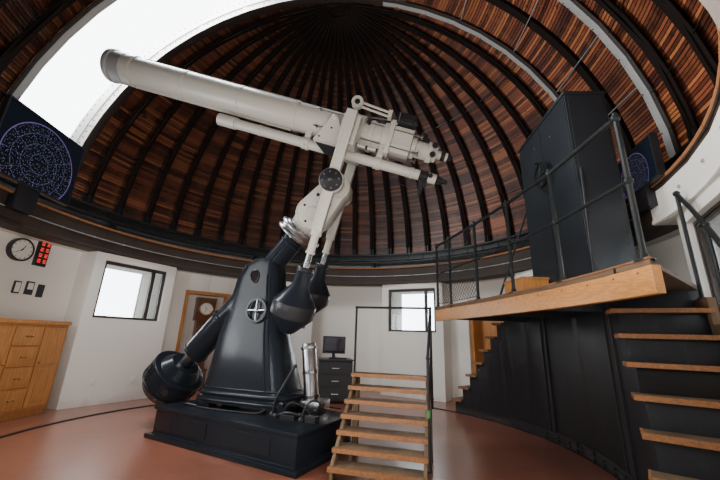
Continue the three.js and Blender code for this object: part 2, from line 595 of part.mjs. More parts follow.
const lobe = (cx, cz, radius, from, to) =>
  arcPoints(radius, from, to, 10).map(([x, z]) => [cx + x, cz + z]);
const headOutline = [...lobe(0, 0, 190, -20, 200), ...lobe(0, -470, 230, 180, 360)];
place(hour, 'polar_head', joined(
  upright(headOutline, -HEAD_HALF, HEAD_HALF),
  bar([0, 0, CIRCLE_S + 130 + GAP], [0, 0, -560], 200, 32, 240),
).subtract(shaftBore(-1100, -640 + GAP)).subtract(
  bar([0, -400, 0], [0, 400, 0], SHAFT_R + RUNNING, SHAFT_SIDES)), ivory);

// Declination axis: local Y is the axis, local X points to the eyepiece, local Z to the tube
const declination = frameAt(hour, { turnY: DECLINATION_TURN });
place(declination, 'declination_axle', joined(
  bar([0, -ARM_SIDE - 90, 0], [0, ARM_SIDE + 90, 0], SHAFT_R, SHAFT_SIDES),
), steel);

function balanceArm(side, name) {
  const y = side * ARM_SIDE;
  const weight = [[0, -WEIGHT_DROP - 270], [95, -WEIGHT_DROP - 270], [WEIGHT_R, -WEIGHT_DROP - 70],
    [WEIGHT_R, -WEIGHT_DROP + 90], [110, -WEIGHT_DROP + 300], [95, -WEIGHT_DROP + 480],
    [0, -WEIGHT_DROP + 480]];
  const shape = joined(
    block([-65, y - 60, -640], [65, y + 60, TUBE_LIFT + 60]),
    bar([0, y - 75, 0], [0, y + 75, 0], 150, 32),
    bar([0, y, -WEIGHT_DROP], [0, y, -600], 42, 16),
    turned(weight, 32).translate([0, y, 0]),
  ).subtract(bar([0, y - 200, 0], [0, y + 200, 0], SHAFT_R + GAP, SHAFT_SIDES));
  place(declination, name, shape, ivory);
}
balanceArm(-1, 'near_balance_arm');
balanceArm(1, 'far_balance_arm');

const tube = frameAt(declination, { position: [0, 0, TUBE_LIFT] });
const alongTube = (profile, sides) => turned(profile, sides).rotate([0, 90, 0]);
const DEW_CAP_DEPTH = 380;
const FINDER_Y = -90;
const FINDER_Z = -360;
const FINDER_R = 70;
place(tube, 'main_tube', joined(
  bar([TUBE_FRONT + 380, 0, 0], [TUBE_REAR, 0, 0], TUBE_R, 40),
  bar([TUBE_FRONT + 60, 0, 0], [TUBE_FRONT + 400, 0, 0], TUBE_R + 12, 40),
  bar([TUBE_FRONT, 0, 0], [TUBE_FRONT + 70, 0, 0], TUBE_R + 28, 40),
).subtract(bar([TUBE_FRONT - 50, 0, 0], [TUBE_FRONT + DEW_CAP_DEPTH, 0, 0], TUBE_R - 12, 40)), ivory);
place(tube, 'cradle', joined(
  alongTube([[TUBE_R + GAP + 0.5, -120], [TUBE_R + 40, -120], [TUBE_R + 40, 120], [TUBE_R + GAP + 0.5, 120]], 40),
  block([-110, -ARM_SIDE + 60 + GAP, -320], [110, -200, 40]),
  block([-110, 200, -320], [110, ARM_SIDE - 60 - GAP, 40]),
  block([-110, -ARM_SIDE + 60 + GAP, -330], [110, ARM_SIDE - 60 - GAP, -232]),
).subtract(bar([-FAR, 0, 0], [FAR, 0, 0], TUBE_R + GAP, 40)).subtract(
  bar([-FAR, FINDER_Y, FINDER_Z], [FAR, FINDER_Y, FINDER_Z], FINDER_R + GAP, 24)), ivory);

place(tube, 'breech_box', joined(
  block([TUBE_REAR + GAP, -230, -230], [TUBE_REAR + 60, 230, 230]),
  block([TUBE_REAR + 50, -180, -180], [TUBE_REAR + 330, 180, 180]),
  bar([TUBE_REAR + 320, 0, 0], [TUBE_REAR + 700, 0, 0], 120, 24),
  bar([TUBE_REAR + 690, 0, 0], [TUBE_REAR + 860, 0, 0], 60, 24),
), ivory);
place(tube, 'finder_tube', joined(
  bar([-1900, FINDER_Y, FINDER_Z], [1250, FINDER_Y, FINDER_Z], FINDER_R, 24),
  block([-640, FINDER_Y - 30, FINDER_Z + 30], [-560, FINDER_Y + 30, -150]),
  block([390, FINDER_Y - 30, FINDER_Z + 30], [470, FINDER_Y + 30, -150]),
).subtract(bar([-FAR, 0, 0], [FAR, 0, 0], TUBE_R + GAP, 40)), ivory);
place(tube, 'motor_drum', joined(
  bar([TUBE_REAR + 180, -60, 180 + GAP], [TUBE_REAR + 180, -60, 300], 40, 12),
  bar([TUBE_REAR + 60, -60, 300], [TUBE_REAR + 320, -60, 300], 110, 24),
), blackGloss);

// Dome: ring girder with its wheels, shell, ribs, arches and cheeks
const WHEELS = 9;
const WHEEL_R = 60;
const dome = frameAt(observatory);
let girder = ring(GIRDER_INNER, GIRDER_OUTER, GIRDER_BOTTOM + 60, GIRDER_BOTTOM + 90,
  GIRDER_SIDES);
girder = joined(girder, ring(GIRDER_INNER + 20, GIRDER_INNER + 50, GIRDER_BOTTOM + 80, GIRDER_TOP - 20,
  GIRDER_SIDES), ring(GIRDER_INNER, GIRDER_OUTER, GIRDER_TOP - 30, GIRDER_TOP, GIRDER_SIDES));
for (let i = 0; i < WHEELS; i += 1) {
  const turn = (360 * i) / WHEELS;
  const wheelShape = joined(
    bar([RAIL_R - 30, 0, RAIL_TOP + WHEEL_R + GAP], [RAIL_R + 30, 0, RAIL_TOP + WHEEL_R + GAP], WHEEL_R, 12),
    block([RAIL_R - 60, -40, RAIL_TOP + 30], [RAIL_R - 25, 40, GIRDER_BOTTOM + 70]),
  );
  girder = girder.add(wheelShape.rotate([0, 0, turn]));
}
place(dome, 'dome_ring_girder', girder, darkSteel);

// Spherical layer above a level, as a lathe of the dome's own curve
function layer(inner, outer, bottom, rows = 8, sides = 48) {
  const from = (radius) => Math.asin((bottom - DOME_Z) / radius);
  const curve = (radius, i) => {
    const angle = from(radius) + ((Math.PI / 2 - from(radius)) * i) / rows;
    return [i === rows ? 0 : radius * Math.cos(angle), DOME_Z + radius * Math.sin(angle)];
  };
  const profile = [];
  for (let i = rows; i >= 0; i -= 1) profile.push(curve(inner, i));
  for (let i = 0; i <= rows; i += 1) profile.push(curve(outer, i));
  return turned(profile, sides);
}

const archOuter = SLIT_HALF + CHEEK_WIDTH;
const slitEnd = SKIN_OUTER * Math.sin(rad(SLIT_PAST_ZENITH));
const shell = layer(BOARD_INNER, SKIN_OUTER, GIRDER_TOP + GAP);
const northHalf = block([-FAR, archOuter + GAP, 0], [FAR, FAR, 2 * FAR]);
const southHalf = block([-FAR, -FAR, 0], [FAR, -archOuter - GAP, 2 * FAR]);
const rearStrip = block([slitEnd + 120, -SLIT_HALF + GAP, 0], [FAR, SLIT_HALF - GAP, 2 * FAR]);
place(dome, 'shell_north', shell.intersect(northHalf), boards);
place(dome, 'shell_south', shell.intersect(southHalf), boards);
place(dome, 'shell_rear', shell.intersect(rearStrip), boards);

const SHUTTER_RAIL_R = 12;
const RAIL_LINE = CHEEK_OUTER + 4;
const RAIL_END = 1950;
const FLANGE_REACH = 20;
const RAIL_ELEVATIONS = [[90 - SLIT_PAST_ZENITH + 1.2, GAP], [130, SLIT_HALF + 20], [176, GAP]];

// An arc in the vertical plane through Y, from one elevation to another
function archRing(inner, outer, y0, y1, from, to, steps = 24) {
  const outline = [...arcPoints(outer, from, to, steps), ...arcPoints(inner, to, from, steps)];
  return upright(outline, y0, y1).translate([0, 0, DOME_Z]);
}
const footAngle = (radius) => (Math.asin((GIRDER_TOP + GAP - DOME_Z) / radius) * 180) / Math.PI;
const belowGirder = block([-FAR, -FAR, 0], [FAR, FAR, GIRDER_TOP + GAP]);
function arch(side, name) {
  const y0 = side > 0 ? SLIT_HALF : -archOuter;
  const web = archRing(BOARD_INNER - 130, BOARD_INNER + 40, y0, y0 + CHEEK_WIDTH, 0, 180, 24);
  const cheek = archRing(BOARD_INNER, CHEEK_OUTER, y0, y0 + CHEEK_WIDTH, 90 - SLIT_PAST_ZENITH, 180, 16);
  const flangeY = side > 0 ? [y0 - 40, y0 + CHEEK_WIDTH + FLANGE_REACH] : [y0 - FLANGE_REACH, y0 + CHEEK_WIDTH + 40];
  const flange = archRing(ARCH_INNER, ARCH_INNER + 25, ...flangeY, 0, 180, 24);
  let whole = joined(web, cheek, flange).subtract(belowGirder);
  for (const [angle, middleEnd] of RAIL_ELEVATIONS) {
    const x = Math.cos(rad(angle)) * RAIL_LINE;
    const z = DOME_Z + Math.sin(rad(angle)) * RAIL_LINE;
    whole = whole.add(bar([x, side * middleEnd, z], [x, side * RAIL_END, z], SHUTTER_RAIL_R, 16));
  }
  place(dome, name, whole, whitePaint);
}
arch(1, 'slit_arch_north');
arch(-1, 'slit_arch_south');
place(dome, 'slit_end_cheek', archRing(BOARD_INNER, CHEEK_OUTER - 30, -SLIT_HALF + GAP, SLIT_HALF - GAP,
  90 - SLIT_PAST_ZENITH - 1, 90 - SLIT_PAST_ZENITH, 1), whitePaint);

// Ribs of one half: upright arcs that run from the girder to a plate at the crown of the arch
const RIB_HALF = 16;
const RIB_OUTER = BOARD_INNER - 36;
const RIB_STEPS = 5;
const CROWN_Y = archOuter + FLANGE_REACH + RIB_HALF + 4;
const CROWN_PLATE_R = 250;
const CROWN_PLATE_Z = [DOME_Z + RIB_INNER - 85, DOME_Z + RIB_INNER - 25];
function ribHalf(side, name) {
  let whole = bar([0, CROWN_Y, CROWN_PLATE_Z[0]], [0, CROWN_Y, CROWN_PLATE_Z[1]], CROWN_PLATE_R, 36)
    .intersect(block([-FAR, CROWN_Y - RIB_HALF, 0], [FAR, FAR, 2 * FAR]));
  for (let i = 0; i < RIBS_A_HALF; i += 1) {
    const turn = (180 * (i + 0.5)) / RIBS_A_HALF;
    const offset = CROWN_Y * Math.cos(rad(turn));
    const start = CROWN_Y * Math.sin(rad(turn)) + CROWN_PLATE_R - 12;
    const curve = (layerRadius) => {
      const radius = Math.sqrt(layerRadius ** 2 - offset ** 2);
      const low = (Math.asin((GIRDER_TOP + GAP - DOME_Z) / radius) * 180) / Math.PI;
      const high = (Math.acos(start / radius) * 180) / Math.PI;
      return arcPoints(radius, low, high, RIB_STEPS);
    };
    const outline = [...curve(RIB_OUTER), ...curve(RIB_INNER).reverse()];
    const rib = upright(outline, -RIB_HALF, RIB_HALF).translate([0, offset, DOME_Z]).rotate([0, 0, turn]);
    whole = whole.add(rib);
  }
  place(dome, name, side > 0 ? whole : whole.mirror([0, 1, 0]), ribTimber);
}
ribHalf(1, 'ribs_north');
ribHalf(-1, 'ribs_south');

// Shutter leaves, drawn apart along Y on the cross rails
function leaf(side, name) {
  const near = side * (SLIT_HALF + LEAF_CLEARANCE);
  const far = near + side * LEAF_WIDTH;
  const [low, high] = [Math.min(near, far), Math.max(near, far)];
  let plate = archRing(LEAF_INNER, LEAF_OUTER, low, high, 90 - SLIT_PAST_ZENITH - 2, 178, 20);
  for (const [angle] of RAIL_ELEVATIONS) {
    const shoe = block([RAIL_LINE + SHUTTER_RAIL_R + GAP, low + 40, -30], [LEAF_INNER + 10, high - 40, 30]);
    plate = plate.add(shoe.rotate([0, -angle, 0]).translate([0, 0, DOME_Z]));
  }
  place(dome, name, plate, zinc);
}
leaf(1, 'shutter_north');
leaf(-1, 'shutter_south');

export default observatory;
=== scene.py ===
import bpy
import bmesh
import json
import math
from mathutils import Matrix, Vector

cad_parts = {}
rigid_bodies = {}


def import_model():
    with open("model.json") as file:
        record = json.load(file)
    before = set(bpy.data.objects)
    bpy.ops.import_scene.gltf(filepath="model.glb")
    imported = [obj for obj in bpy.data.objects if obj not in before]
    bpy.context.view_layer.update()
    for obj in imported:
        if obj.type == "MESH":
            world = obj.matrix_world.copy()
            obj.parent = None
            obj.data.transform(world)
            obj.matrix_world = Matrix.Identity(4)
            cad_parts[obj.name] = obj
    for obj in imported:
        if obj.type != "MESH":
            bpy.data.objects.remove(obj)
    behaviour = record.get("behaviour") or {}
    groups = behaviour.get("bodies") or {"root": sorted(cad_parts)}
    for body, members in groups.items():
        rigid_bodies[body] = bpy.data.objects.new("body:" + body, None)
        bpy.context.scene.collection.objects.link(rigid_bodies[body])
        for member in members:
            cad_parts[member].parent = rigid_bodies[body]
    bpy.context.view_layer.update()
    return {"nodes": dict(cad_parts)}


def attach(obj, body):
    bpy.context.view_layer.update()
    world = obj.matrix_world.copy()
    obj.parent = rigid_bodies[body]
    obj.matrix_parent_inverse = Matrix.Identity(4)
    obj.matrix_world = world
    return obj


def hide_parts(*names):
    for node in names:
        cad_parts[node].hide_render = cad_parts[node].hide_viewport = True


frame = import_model()

bl_info = {
    "name": "Observatory Dome",
    "version": (1, 0, 0),
    "blender": (4, 5, 0),
    "location": "3D View > Sidebar > Observatory",
    "description": "Dresses the round observatory: boards, ribs, refractor, pier, stairs and windows",
    "category": "Add Mesh",
}

NODES = frame["nodes"]

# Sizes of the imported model, in metres
FLOOR = 0.300
RECESS = 4.450
BEAM_TOP = 3.220
RAIL_TOP = 3.290
GIRDER_TOP = 3.650
DOME_Z = 3.500
RIB_INNER = 4.480
BOARD = 4.600
LINING = 4.567
SKIN = 4.650
SLIT_HALF = 0.600
ARCH_OUTER = 0.690
CROWN_Y = 0.730
REAR_END = 1.36
ARCH_INNER = 4.450
RIB_COUNT = 24
CAP_HALF = 0.058
DECK = 2.050
BASE_INNER = 3.290
BASE_OUTER = 3.940
BASE_FROM = -19.5
BASE_TO = 25.0
STEP_ANGLE = 2.8
STEPS_CURVED = 7
CURVED_RISE = (DECK - 0.3123) / (STEPS_CURVED + 1)
WINDOW_WIDTH = 1.150
WINDOW_SILL = 1.680
WINDOW_HEAD = 2.680
PIER_MIDDLE = -1.060
BASE_BLOCK_TOP = 0.640
ARM_SIDE = 0.585
TUBE_R = 0.205
TUBE_FRONT = -3.750
TUBE_REAR = 0.470
DECK_EDGE = [(1.890, 1.500), (2.320, -0.060), (2.530, -1.150), (2.600, -1.800), (2.610, -2.260)]
RAIL_HEIGHT = 1.080
WINDOW_ANGLES = [20 + 45 * i for i in range(8)]
DOOR_BAY = 42.5
CLOCK_BAY = 132.5
CUPBOARD_BAY = 177.5
DEGREES = 57.2958


def turn(degrees, axis="Z"):
    return Matrix.Rotation(math.radians(degrees), 4, axis)


def shift(x=0.0, y=0.0, z=0.0):
    return Matrix.Translation((x, y, z))


# Places of the telescope, the steps and the desk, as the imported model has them
MOUNTING = shift(0.325, -0.098, 0) @ turn(-16.8)
POLAR = MOUNTING @ shift(0, 0, 3.490) @ turn(90 - 47.65, "Y")
HOUR = POLAR @ turn(21.7)
DECLINATION = HOUR @ turn(-24.7, "Y")
TUBE = DECLINATION @ shift(0, 0, 0.846)
PIER_BASE = MOUNTING @ shift(-0.860, -0.180, 0) @ turn(-8)
STEPS = shift(0.930, -1.110, FLOOR) @ turn(79)
DESK = shift(0.060, 2.850, FLOOR) @ turn(12)
SIDE_ON = turn(90, "X")
ALONG_X = turn(90, "Y")


# Mesh making

def facing(point, direction):
    """A place at a point, with local Z along a direction."""
    turned = Vector(direction).to_track_quat("Z", "Y").to_matrix().to_4x4()
    return Matrix.Translation(Vector(point)) @ turned


class Maker:
    """Collects the faces of one piece in the part's frame, in metres."""

    def __init__(self, at=Matrix()):
        self.at = at
        self.paint = 0
        self.points = []
        self.faces = []
        self.paints = []

    def add(self, points, faces, at=None):
        place = self.at @ at if at is not None else self.at
        first = len(self.points)
        self.points += [place @ Vector(point) for point in points]
        self.faces += [[first + i for i in face] for face in faces]
        self.paints += [self.paint] * len(faces)

    def box(self, low, high, at=None):
        points = [(x, y, z) for z in (low[2], high[2]) for y in (low[1], high[1]) for x in (low[0], high[0])]
        self.add(points, [(0, 2, 3, 1), (4, 5, 7, 6), (0, 1, 5, 4), (2, 6, 7, 3), (0, 4, 6, 2),
                          (1, 3, 7, 5)], at)

    def surround(self, x0, x1, y0, y1, z0, z1, width):
        """Four bars round an upright opening that faces along X."""
        self.box((x0, y0, z0), (x1, y1, z0 + width))
        self.box((x0, y0, z1 - width), (x1, y1, z1))
        self.box((x0, y0, z0 + width), (x1, y0 + width, z1 - width))
        self.box((x0, y1 - width, z0 + width), (x1, y1, z1 - width))

    def prism(self, outline, bottom, top, at=None):
        count = len(outline)
        points = [(x, y, bottom) for x, y in outline] + [(x, y, top) for x, y in outline]
        sides = [(i, (i + 1) % count, count + (i + 1) % count, count + i) for i in range(count)]
        self.add(points, [tuple(range(count))[::-1], tuple(range(count, 2 * count))] + sides, at)

    def rings(self, rows, closed_rows=False, closed_sides=True, at=None, caps=False):
        """Joins rows of points that all have the same count."""
        count = len(rows[0])
        points = [point for row in rows for point in row]
        faces = []
        for r in range(len(rows) if closed_rows else len(rows) - 1):
            for i in range(count if closed_sides else count - 1):
                a = r * count + i
                b = r * count + (i + 1) % count
                up = ((r + 1) % len(rows)) * count - r * count
                faces.append((a, b, b + up, a + up))
        if caps:
            faces.append(tuple(range(count))[::-1])
            faces.append(tuple(range(len(points) - count, len(points))))
        self.add(points, faces, at)

    def turned(self, profile, sides=32, at=None, closed=False):
        """A profile of (radius, height) pairs turned about local Z."""
        rows = []
        for radius, height in profile:
            radius = max(radius, 1e-5)
            rows.append([(radius * c, radius * s, height) for c, s in circle(sides)])
        self.rings(rows, closed_rows=closed, at=at)

    def bar(self, start, end, radius, sides=12, far=None):
        start, end = Vector(start), Vector(end)
        along = end - start
        far = radius if far is None else far
        self.turned([(0, 0), (radius, 0), (far, along.length), (0, along.length)], sides,
                    facing(start, along))

    def pipe(self, path, radius, sides=8, closed=False):
        """A round pipe along a path of points."""
        path = [Vector(point) for point in path]
        count = len(path)
        rows = []
        side = None
        for i, point in enumerate(path):
            before = path[(i - 1) % count] if closed or i else point
            after = path[(i + 1) % count] if closed or i + 1 < count else point
            along = (after - before).normalized()
            if side is None:
                side = along.orthogonal().normalized()
            side = (side - along * side.dot(along)).normalized()
            over = along.cross(side)
            rows.append([point + (side * c + over * s) * radius for c, s in circle(sides)])
        self.rings(rows, closed_rows=closed, caps=not closed)

    def ball(self, centre, radius, rows=6, sides=12):
        profile = [(radius * math.cos(a), radius * math.sin(a))
                   for a in (math.pi * (k / rows - 0.5) for k in range(rows + 1))]
        self.turned(profile, sides, Matrix.Translation(Vector(centre)))

    def head(self, centre, normal, radius, sides=8):
        """A domed rivet or screw head that stands on a surface."""
        self.turned([(radius, 0), (radius * 0.8, radius * 0.35), (0, radius * 0.55)], sides,
                    facing(centre, normal))

    def nut(self, centre, normal, radius):
        """A six-sided nut on its washer."""
        place = facing(centre, normal)
        self.turned([(radius * 1.3, 0), (radius * 1.3, radius * 0.2), (0, radius * 0.2)], 16, place)
        self.turned([(radius, 0), (radius, radius * 0.9), (radius * 0.8, radius), (0, radius)], 6, place)

    def piece(self, name, body, slot, finishes, bevel=0.0, angle=38):
        """Makes the object, gives it its finishes and lets it ride on its body."""
        mesh = bpy.data.meshes.new(name)
        mesh.from_pydata([tuple(point) for point in self.points], [], self.faces)
        for one in finishes:
            mesh.materials.append(finish(one) if isinstance(one, str) else one)
        mesh.polygons.foreach_set("material_index", self.paints)
        work = bmesh.new()
        work.from_mesh(mesh)
        bmesh.ops.remove_doubles(work, verts=work.verts, dist=2e-5)
        bmesh.ops.recalc_face_normals(work, faces=work.faces)
        work.to_mesh(mesh)
        work.free()
        mesh.polygons.foreach_set("use_smooth", [True] * len(mesh.polygons))
        mesh.set_sharp_from_angle(angle=math.radians(angle))
        made = bpy.data.objects.new(name, mesh)
        bpy.context.scene.collection.objects.link(made)
        if bevel:
            rounding = made.modifiers.new("Rounded edges", "BEVEL")
            rounding.width = bevel
            rounding.segments = 2
            rounding.limit_method = "ANGLE"
            rounding.angle_limit = math.radians(50)
            rounding.harden_normals = True
        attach(made, body)
        return made


def circle(count, first=0.0):
    """Cosine and sine at even steps round a circle, from first degrees."""
    for k in range(count):
        a = math.radians(first) + 2 * math.pi * k / count
        yield math.cos(a), math.sin(a)


def hoop(radius, degrees, y):
    """A point on an upright hoop of the dome, at a distance y from its middle plane."""
    a = math.radians(degrees)
    return Vector((radius * math.cos(a), y, DOME_Z + radius * math.sin(a)))


def polar(radius, degrees, height):
    a = math.radians(degrees)
    return Vector((radius * math.cos(a), radius * math.sin(a), height))


def arc(radius, start, end, steps):
    return [(radius * math.cos(a), radius * math.sin(a))
            for a in (math.radians(start + (end - start) * i / steps) for i in range(steps + 1))]


def sector(inner, outer, start, end, steps=6):
    return arc(outer, start, end, steps) + arc(inner, end, start, steps)


def spread(low, high, count):
    return [low + (high - low) * i / max(count - 1, 1) for i in range(count)]


def soften(name, angle=35.0, bevel=0.0):
    """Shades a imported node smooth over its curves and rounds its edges, with modifiers alone."""
    node = NODES[name]
    custom = node.data.attributes.get("custom_normal")
    if custom:
        node.data.attributes.remove(custom)
    for flag in ("sharp_edge", "sharp_face"):
        found = node.data.attributes.get(flag)
        if found:
            node.data.attributes.remove(found)
    node.data.polygons.foreach_set("use_smooth", [True] * len(node.data.polygons))
    weld = node.modifiers.new("Weld", "WELD")
    weld.merge_threshold = 0.0002
    if bevel:
        rounding = node.modifiers.new("Rounded edges", "BEVEL")
        rounding.width = bevel
        rounding.segments = 2
        rounding.limit_method = "ANGLE"
        rounding.angle_limit = math.radians(angle + 10)
        rounding.use_clamp_overlap = False
    split = node.modifiers.new("Sharp edges", "EDGE_SPLIT")
    split.split_angle = math.radians(angle)


def dress(names, look, angle=35.0, bevel=0.0):
    """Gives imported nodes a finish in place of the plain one."""
    for name in names:
        node = NODES[name]
        node.data.materials.clear()
        node.data.materials.append(finish(look))
        soften(name, angle, bevel)


# Shader making

class Value:
    """A number that varies over a surface. Arithmetic on it adds its Math nodes."""

    def __init__(self, tree, socket):
        self.tree = tree
        self.socket = socket

    def math(self, operation, *others, swap=False):
        node = self.tree.nodes.new("ShaderNodeMath")
        node.operation = operation
        for socket, value in zip(node.inputs, [*others, self] if swap else [self, *others]):
            if isinstance(value, Value):
                self.tree.links.new(value.socket, socket)
            else:
                socket.default_value = value
        return Value(self.tree, node.outputs[0])

    def __add__(self, other):
        return self.math("ADD", other)

    __radd__ = __add__

    def __sub__(self, other):
        return self.math("SUBTRACT", other)

    def __rsub__(self, other):
        return self.math("SUBTRACT", other, swap=True)

    def __mul__(self, other):
        return self.math("MULTIPLY", other)

    __rmul__ = __mul__

    def __truediv__(self, other):
        return self.math("DIVIDE", other)

    def __rtruediv__(self, other):
        return self.math("DIVIDE", other, swap=True)

    def __gt__(self, other):
        return self.math("GREATER_THAN", other)

    def __lt__(self, other):
        return self.math("LESS_THAN", other)

    def __pow__(self, other):
        return self.math("POWER", other)

    def __abs__(self):
        return self.math("ABSOLUTE")

    def floor(self):
        return self.math("FLOOR")

    def fraction(self):
        return self.math("FRACT")

    def clamp(self):
        held = self.math("ADD", 0.0)
        held.socket.node.use_clamp = True
        return held

    def between(self, low, high):
        """0 below low, 1 above high, straight in between."""
        return ((self - low) * (1.0 / (high - low))).clamp()


class Finish:
    """One material: the shader, and the nodes that lead to it."""

    def __init__(self, name, **constants):
        self.material = bpy.data.materials.new(name)
        self.material.use_nodes = True
        self.tree = self.material.node_tree
        self.shader = self.tree.nodes["Principled BSDF"]
        for socket, value in constants.items():
            self.shader.inputs[socket.replace("_", " ")].default_value = value
        self.place = self.node("ShaderNodeTexCoord").outputs["Object"]

    def node(self, kind, settings=(), values=()):
        """A node of any kind, its settings first, then its sockets' values or links."""
        made = self.tree.nodes.new(kind)
        for name, value in dict(settings).items():
            setattr(made, name, value)
        for name, value in dict(values).items():
            source = value.socket if isinstance(value, Value) else value
            if isinstance(source, bpy.types.NodeSocket):
                self.tree.links.new(source, made.inputs[name])
            else:
                made.inputs[name].default_value = source
        return made

    def axes(self):
        parts = self.node("ShaderNodeSeparateXYZ", values={"Vector": self.place}).outputs
        return [Value(self.tree, socket) for socket in parts]

    def along(self, frame_matrix, axis):
        """How far a point lies along one axis of a frame."""
        unit = frame_matrix.to_3x3().col[axis].normalized()
        product = self.node("ShaderNodeVectorMath", {"operation": "DOT_PRODUCT"}, {0: self.place, 1: unit})
        return Value(self.tree, product.outputs["Value"]) - unit.dot(frame_matrix.translation)

    def stretched(self, scale=(1, 1, 1), rotation=(0, 0, 0)):
        return self.node("ShaderNodeMapping", {"vector_type": "TEXTURE"}, {
            "Vector": self.place, "Rotation": [math.radians(a) for a in rotation],
            "Scale": scale}).outputs[0]

    def noise(self, scale, detail=3.0, roughness=0.55, place=None, distortion=0.0):
        made = self.node("ShaderNodeTexNoise", values={
            "Vector": place or self.place, "Scale": scale, "Detail": detail, "Roughness": roughness,
            "Distortion": distortion})
        return Value(self.tree, made.outputs["Fac"])

    def cell(self, *parts):
        """A number from 0 to 1 for each cell that the rounded parts name."""
        joined = self.node("ShaderNodeCombineXYZ", values=dict(enumerate(parts)))
        made = self.node("ShaderNodeTexWhiteNoise", {"noise_dimensions": "3D"},
                         {"Vector": joined.outputs[0]})
        return Value(self.tree, made.outputs["Value"])

    def vector(self, *parts):
        return self.node("ShaderNodeCombineXYZ", values=dict(enumerate(parts))).outputs[0]

    def mix(self, mask, first, second):
        """A colour between two, by a mask from 0 to 1."""
        made = self.node("ShaderNodeMix", {"data_type": "RGBA"}, {0: mask, 6: rgba(first), 7: rgba(second)})
        return made.outputs[2]

    def shade(self, colour, by):
        """A colour made lighter or darker by a number near 1."""
        grey = self.node("ShaderNodeCombineColor", values={0: by, 1: by, 2: by}).outputs[0]
        made = self.node("ShaderNodeMix", {"data_type": "RGBA", "blend_type": "MULTIPLY"},
                         {0: 1.0, 6: rgba(colour), 7: grey})
        return made.outputs[2]

    def end(self, colour=None, roughness=None, metallic=None, bump=None, strength=0.3, depth=0.002,
            alpha=None, glow=None):
        """Leads what varies to the shader."""
        for name, value in (("Base Color", colour), ("Roughness", roughness), ("Metallic", metallic),
                            ("Alpha", alpha), ("Emission Color", glow)):
            if value is None:
                continue
            if isinstance(value, (Value, bpy.types.NodeSocket)):
                self.tree.links.new(value.socket if isinstance(value, Value) else value,
                                    self.shader.inputs[name])
            else:
                self.shader.inputs[name].default_value = rgba(value) if "Color" in name else value
        if bump is not None:
            made = self.node("ShaderNodeBump",
                             values={"Height": bump, "Strength": strength, "Distance": depth})
            self.tree.links.new(made.outputs[0], self.shader.inputs["Normal"])
        return self.material


def rgba(colour):
    if isinstance(colour, bpy.types.NodeSocket):
        return colour
    return (*tuple(colour)[:3], 1.0)


def tinted(colour, by):
    return tuple(min(1.0, c * by) for c in tuple(colour)[:3])


MADE = {}


def finish(name):
    """The finished material of that name, made the first time it is asked for."""
    if name not in MADE:
        MADE[name] = RECIPES[name](bpy.context.scene.observatory_colours)
    return MADE[name]


def from_axis(x, y):
    """The distance of a point from the middle axis of the building."""
    return (x * x + y * y).math("SQRT")


def limewash(colours):
    f = Finish("limewash", Roughness=0.9, Specular_IOR_Level=0.25)
    x, y, z = f.axes()
    cloud = f.noise(0.9, 4.0)
    fine = f.noise(38.0, 5.0, 0.65)
    scuff = (z.between(0.62, 0.32) * f.noise(5.0, 5.0, 0.7)).between(0.30, 0.75)
    radius = from_axis(x, y)
    outside = radius > 4.7
    tone = f.shade(colours.plaster, 0.90 + cloud * 0.14 + fine * 0.03)
    tone = f.mix(scuff * 0.55, tone, (0.42, 0.36, 0.31))
    rain = (f.noise(6.0, 4.0, 0.6, f.stretched((1, 1, 9))).between(0.5, 0.8)) * outside * 0.35
    tone = f.mix(rain, tone, (0.45, 0.42, 0.38))
    return f.end(tone, 0.86 + fine * 0.1, bump=fine * 0.4 + cloud * 0.6 + outside * f.noise(90.0, 3.0),
                 depth=0.003)


def screed(colours):
    f = Finish("terracotta_screed", Specular_IOR_Level=0.5, Coat_Weight=0.55, Coat_Roughness=0.20)
    x, y, z = f.axes()
    cloud = f.noise(0.55, 5.0, 0.6)
    patch = f.noise(2.6, 6.0, 0.65, distortion=0.6)
    grit = f.noise(75.0, 3.0, 0.7)
    radius = from_axis(x, y)
    outside = ((radius > 4.46) + (z < 0.29)).clamp()
    tone = f.mix(cloud.between(0.35, 0.68), colours.floor, tinted(colours.floor, 0.62))
    tone = f.mix(patch.between(0.50, 0.72) * 0.45, tone, tinted(colours.floor, 1.55))
    # Painted shade: the screed is darkened towards +x and -y.
    tone = f.mix((x * 0.3 - y * 0.1).between(0.1, 0.9) * 0.45, tone, tinted(colours.floor, 0.42))
    tone = f.shade(tone, 0.93 + grit * 0.14)
    stone = f.shade((0.36, 0.34, 0.31), 0.8 + patch * 0.4)
    tone = f.mix(outside, tone, stone)
    smooth = 0.20 + patch * 0.24 + grit * 0.05
    return f.end(tone, smooth + outside * 0.4, bump=grit * 0.5 + patch, strength=0.25, depth=0.0015)


def beam_casing(colours):
    f = Finish("beam_casing", Specular_IOR_Level=0.35)
    x, y, z = f.axes()
    radius = from_axis(x, y)
    angle = y.math("ARCTAN2", x)
    grain = f.noise(3.0, 5.0, 0.6, f.vector(angle * 4.0, z * 60.0, radius * 8.0))
    joint = ((angle * (48 / (2 * math.pi))).fraction() < 0.012)
    edge = z > 3.190
    tone = f.mix(grain.between(0.35, 0.7), colours.casing, tinted(colours.casing, 0.5))
    tone = f.mix(edge * 0.85, tone, (0.33, 0.135, 0.055))
    tone = f.mix(joint, tone, (0.015, 0.012, 0.01))
    degrees = angle * DEGREES
    limed = (degrees > -62.0) * (degrees < -11.0) * (z < 3.14)
    tone = f.mix(limed, tone, tinted(colours.plaster, 0.95))
    outside = radius > 4.3
    rough = f.noise(30.0, 4.0)
    tone = f.mix(outside, tone, f.shade(tinted(colours.plaster, 0.88), 0.9 + rough * 0.2))
    return f.end(tone, 0.5 + grain * 0.2 + outside * 0.25, bump=grain - joint * 0.8, depth=0.003)


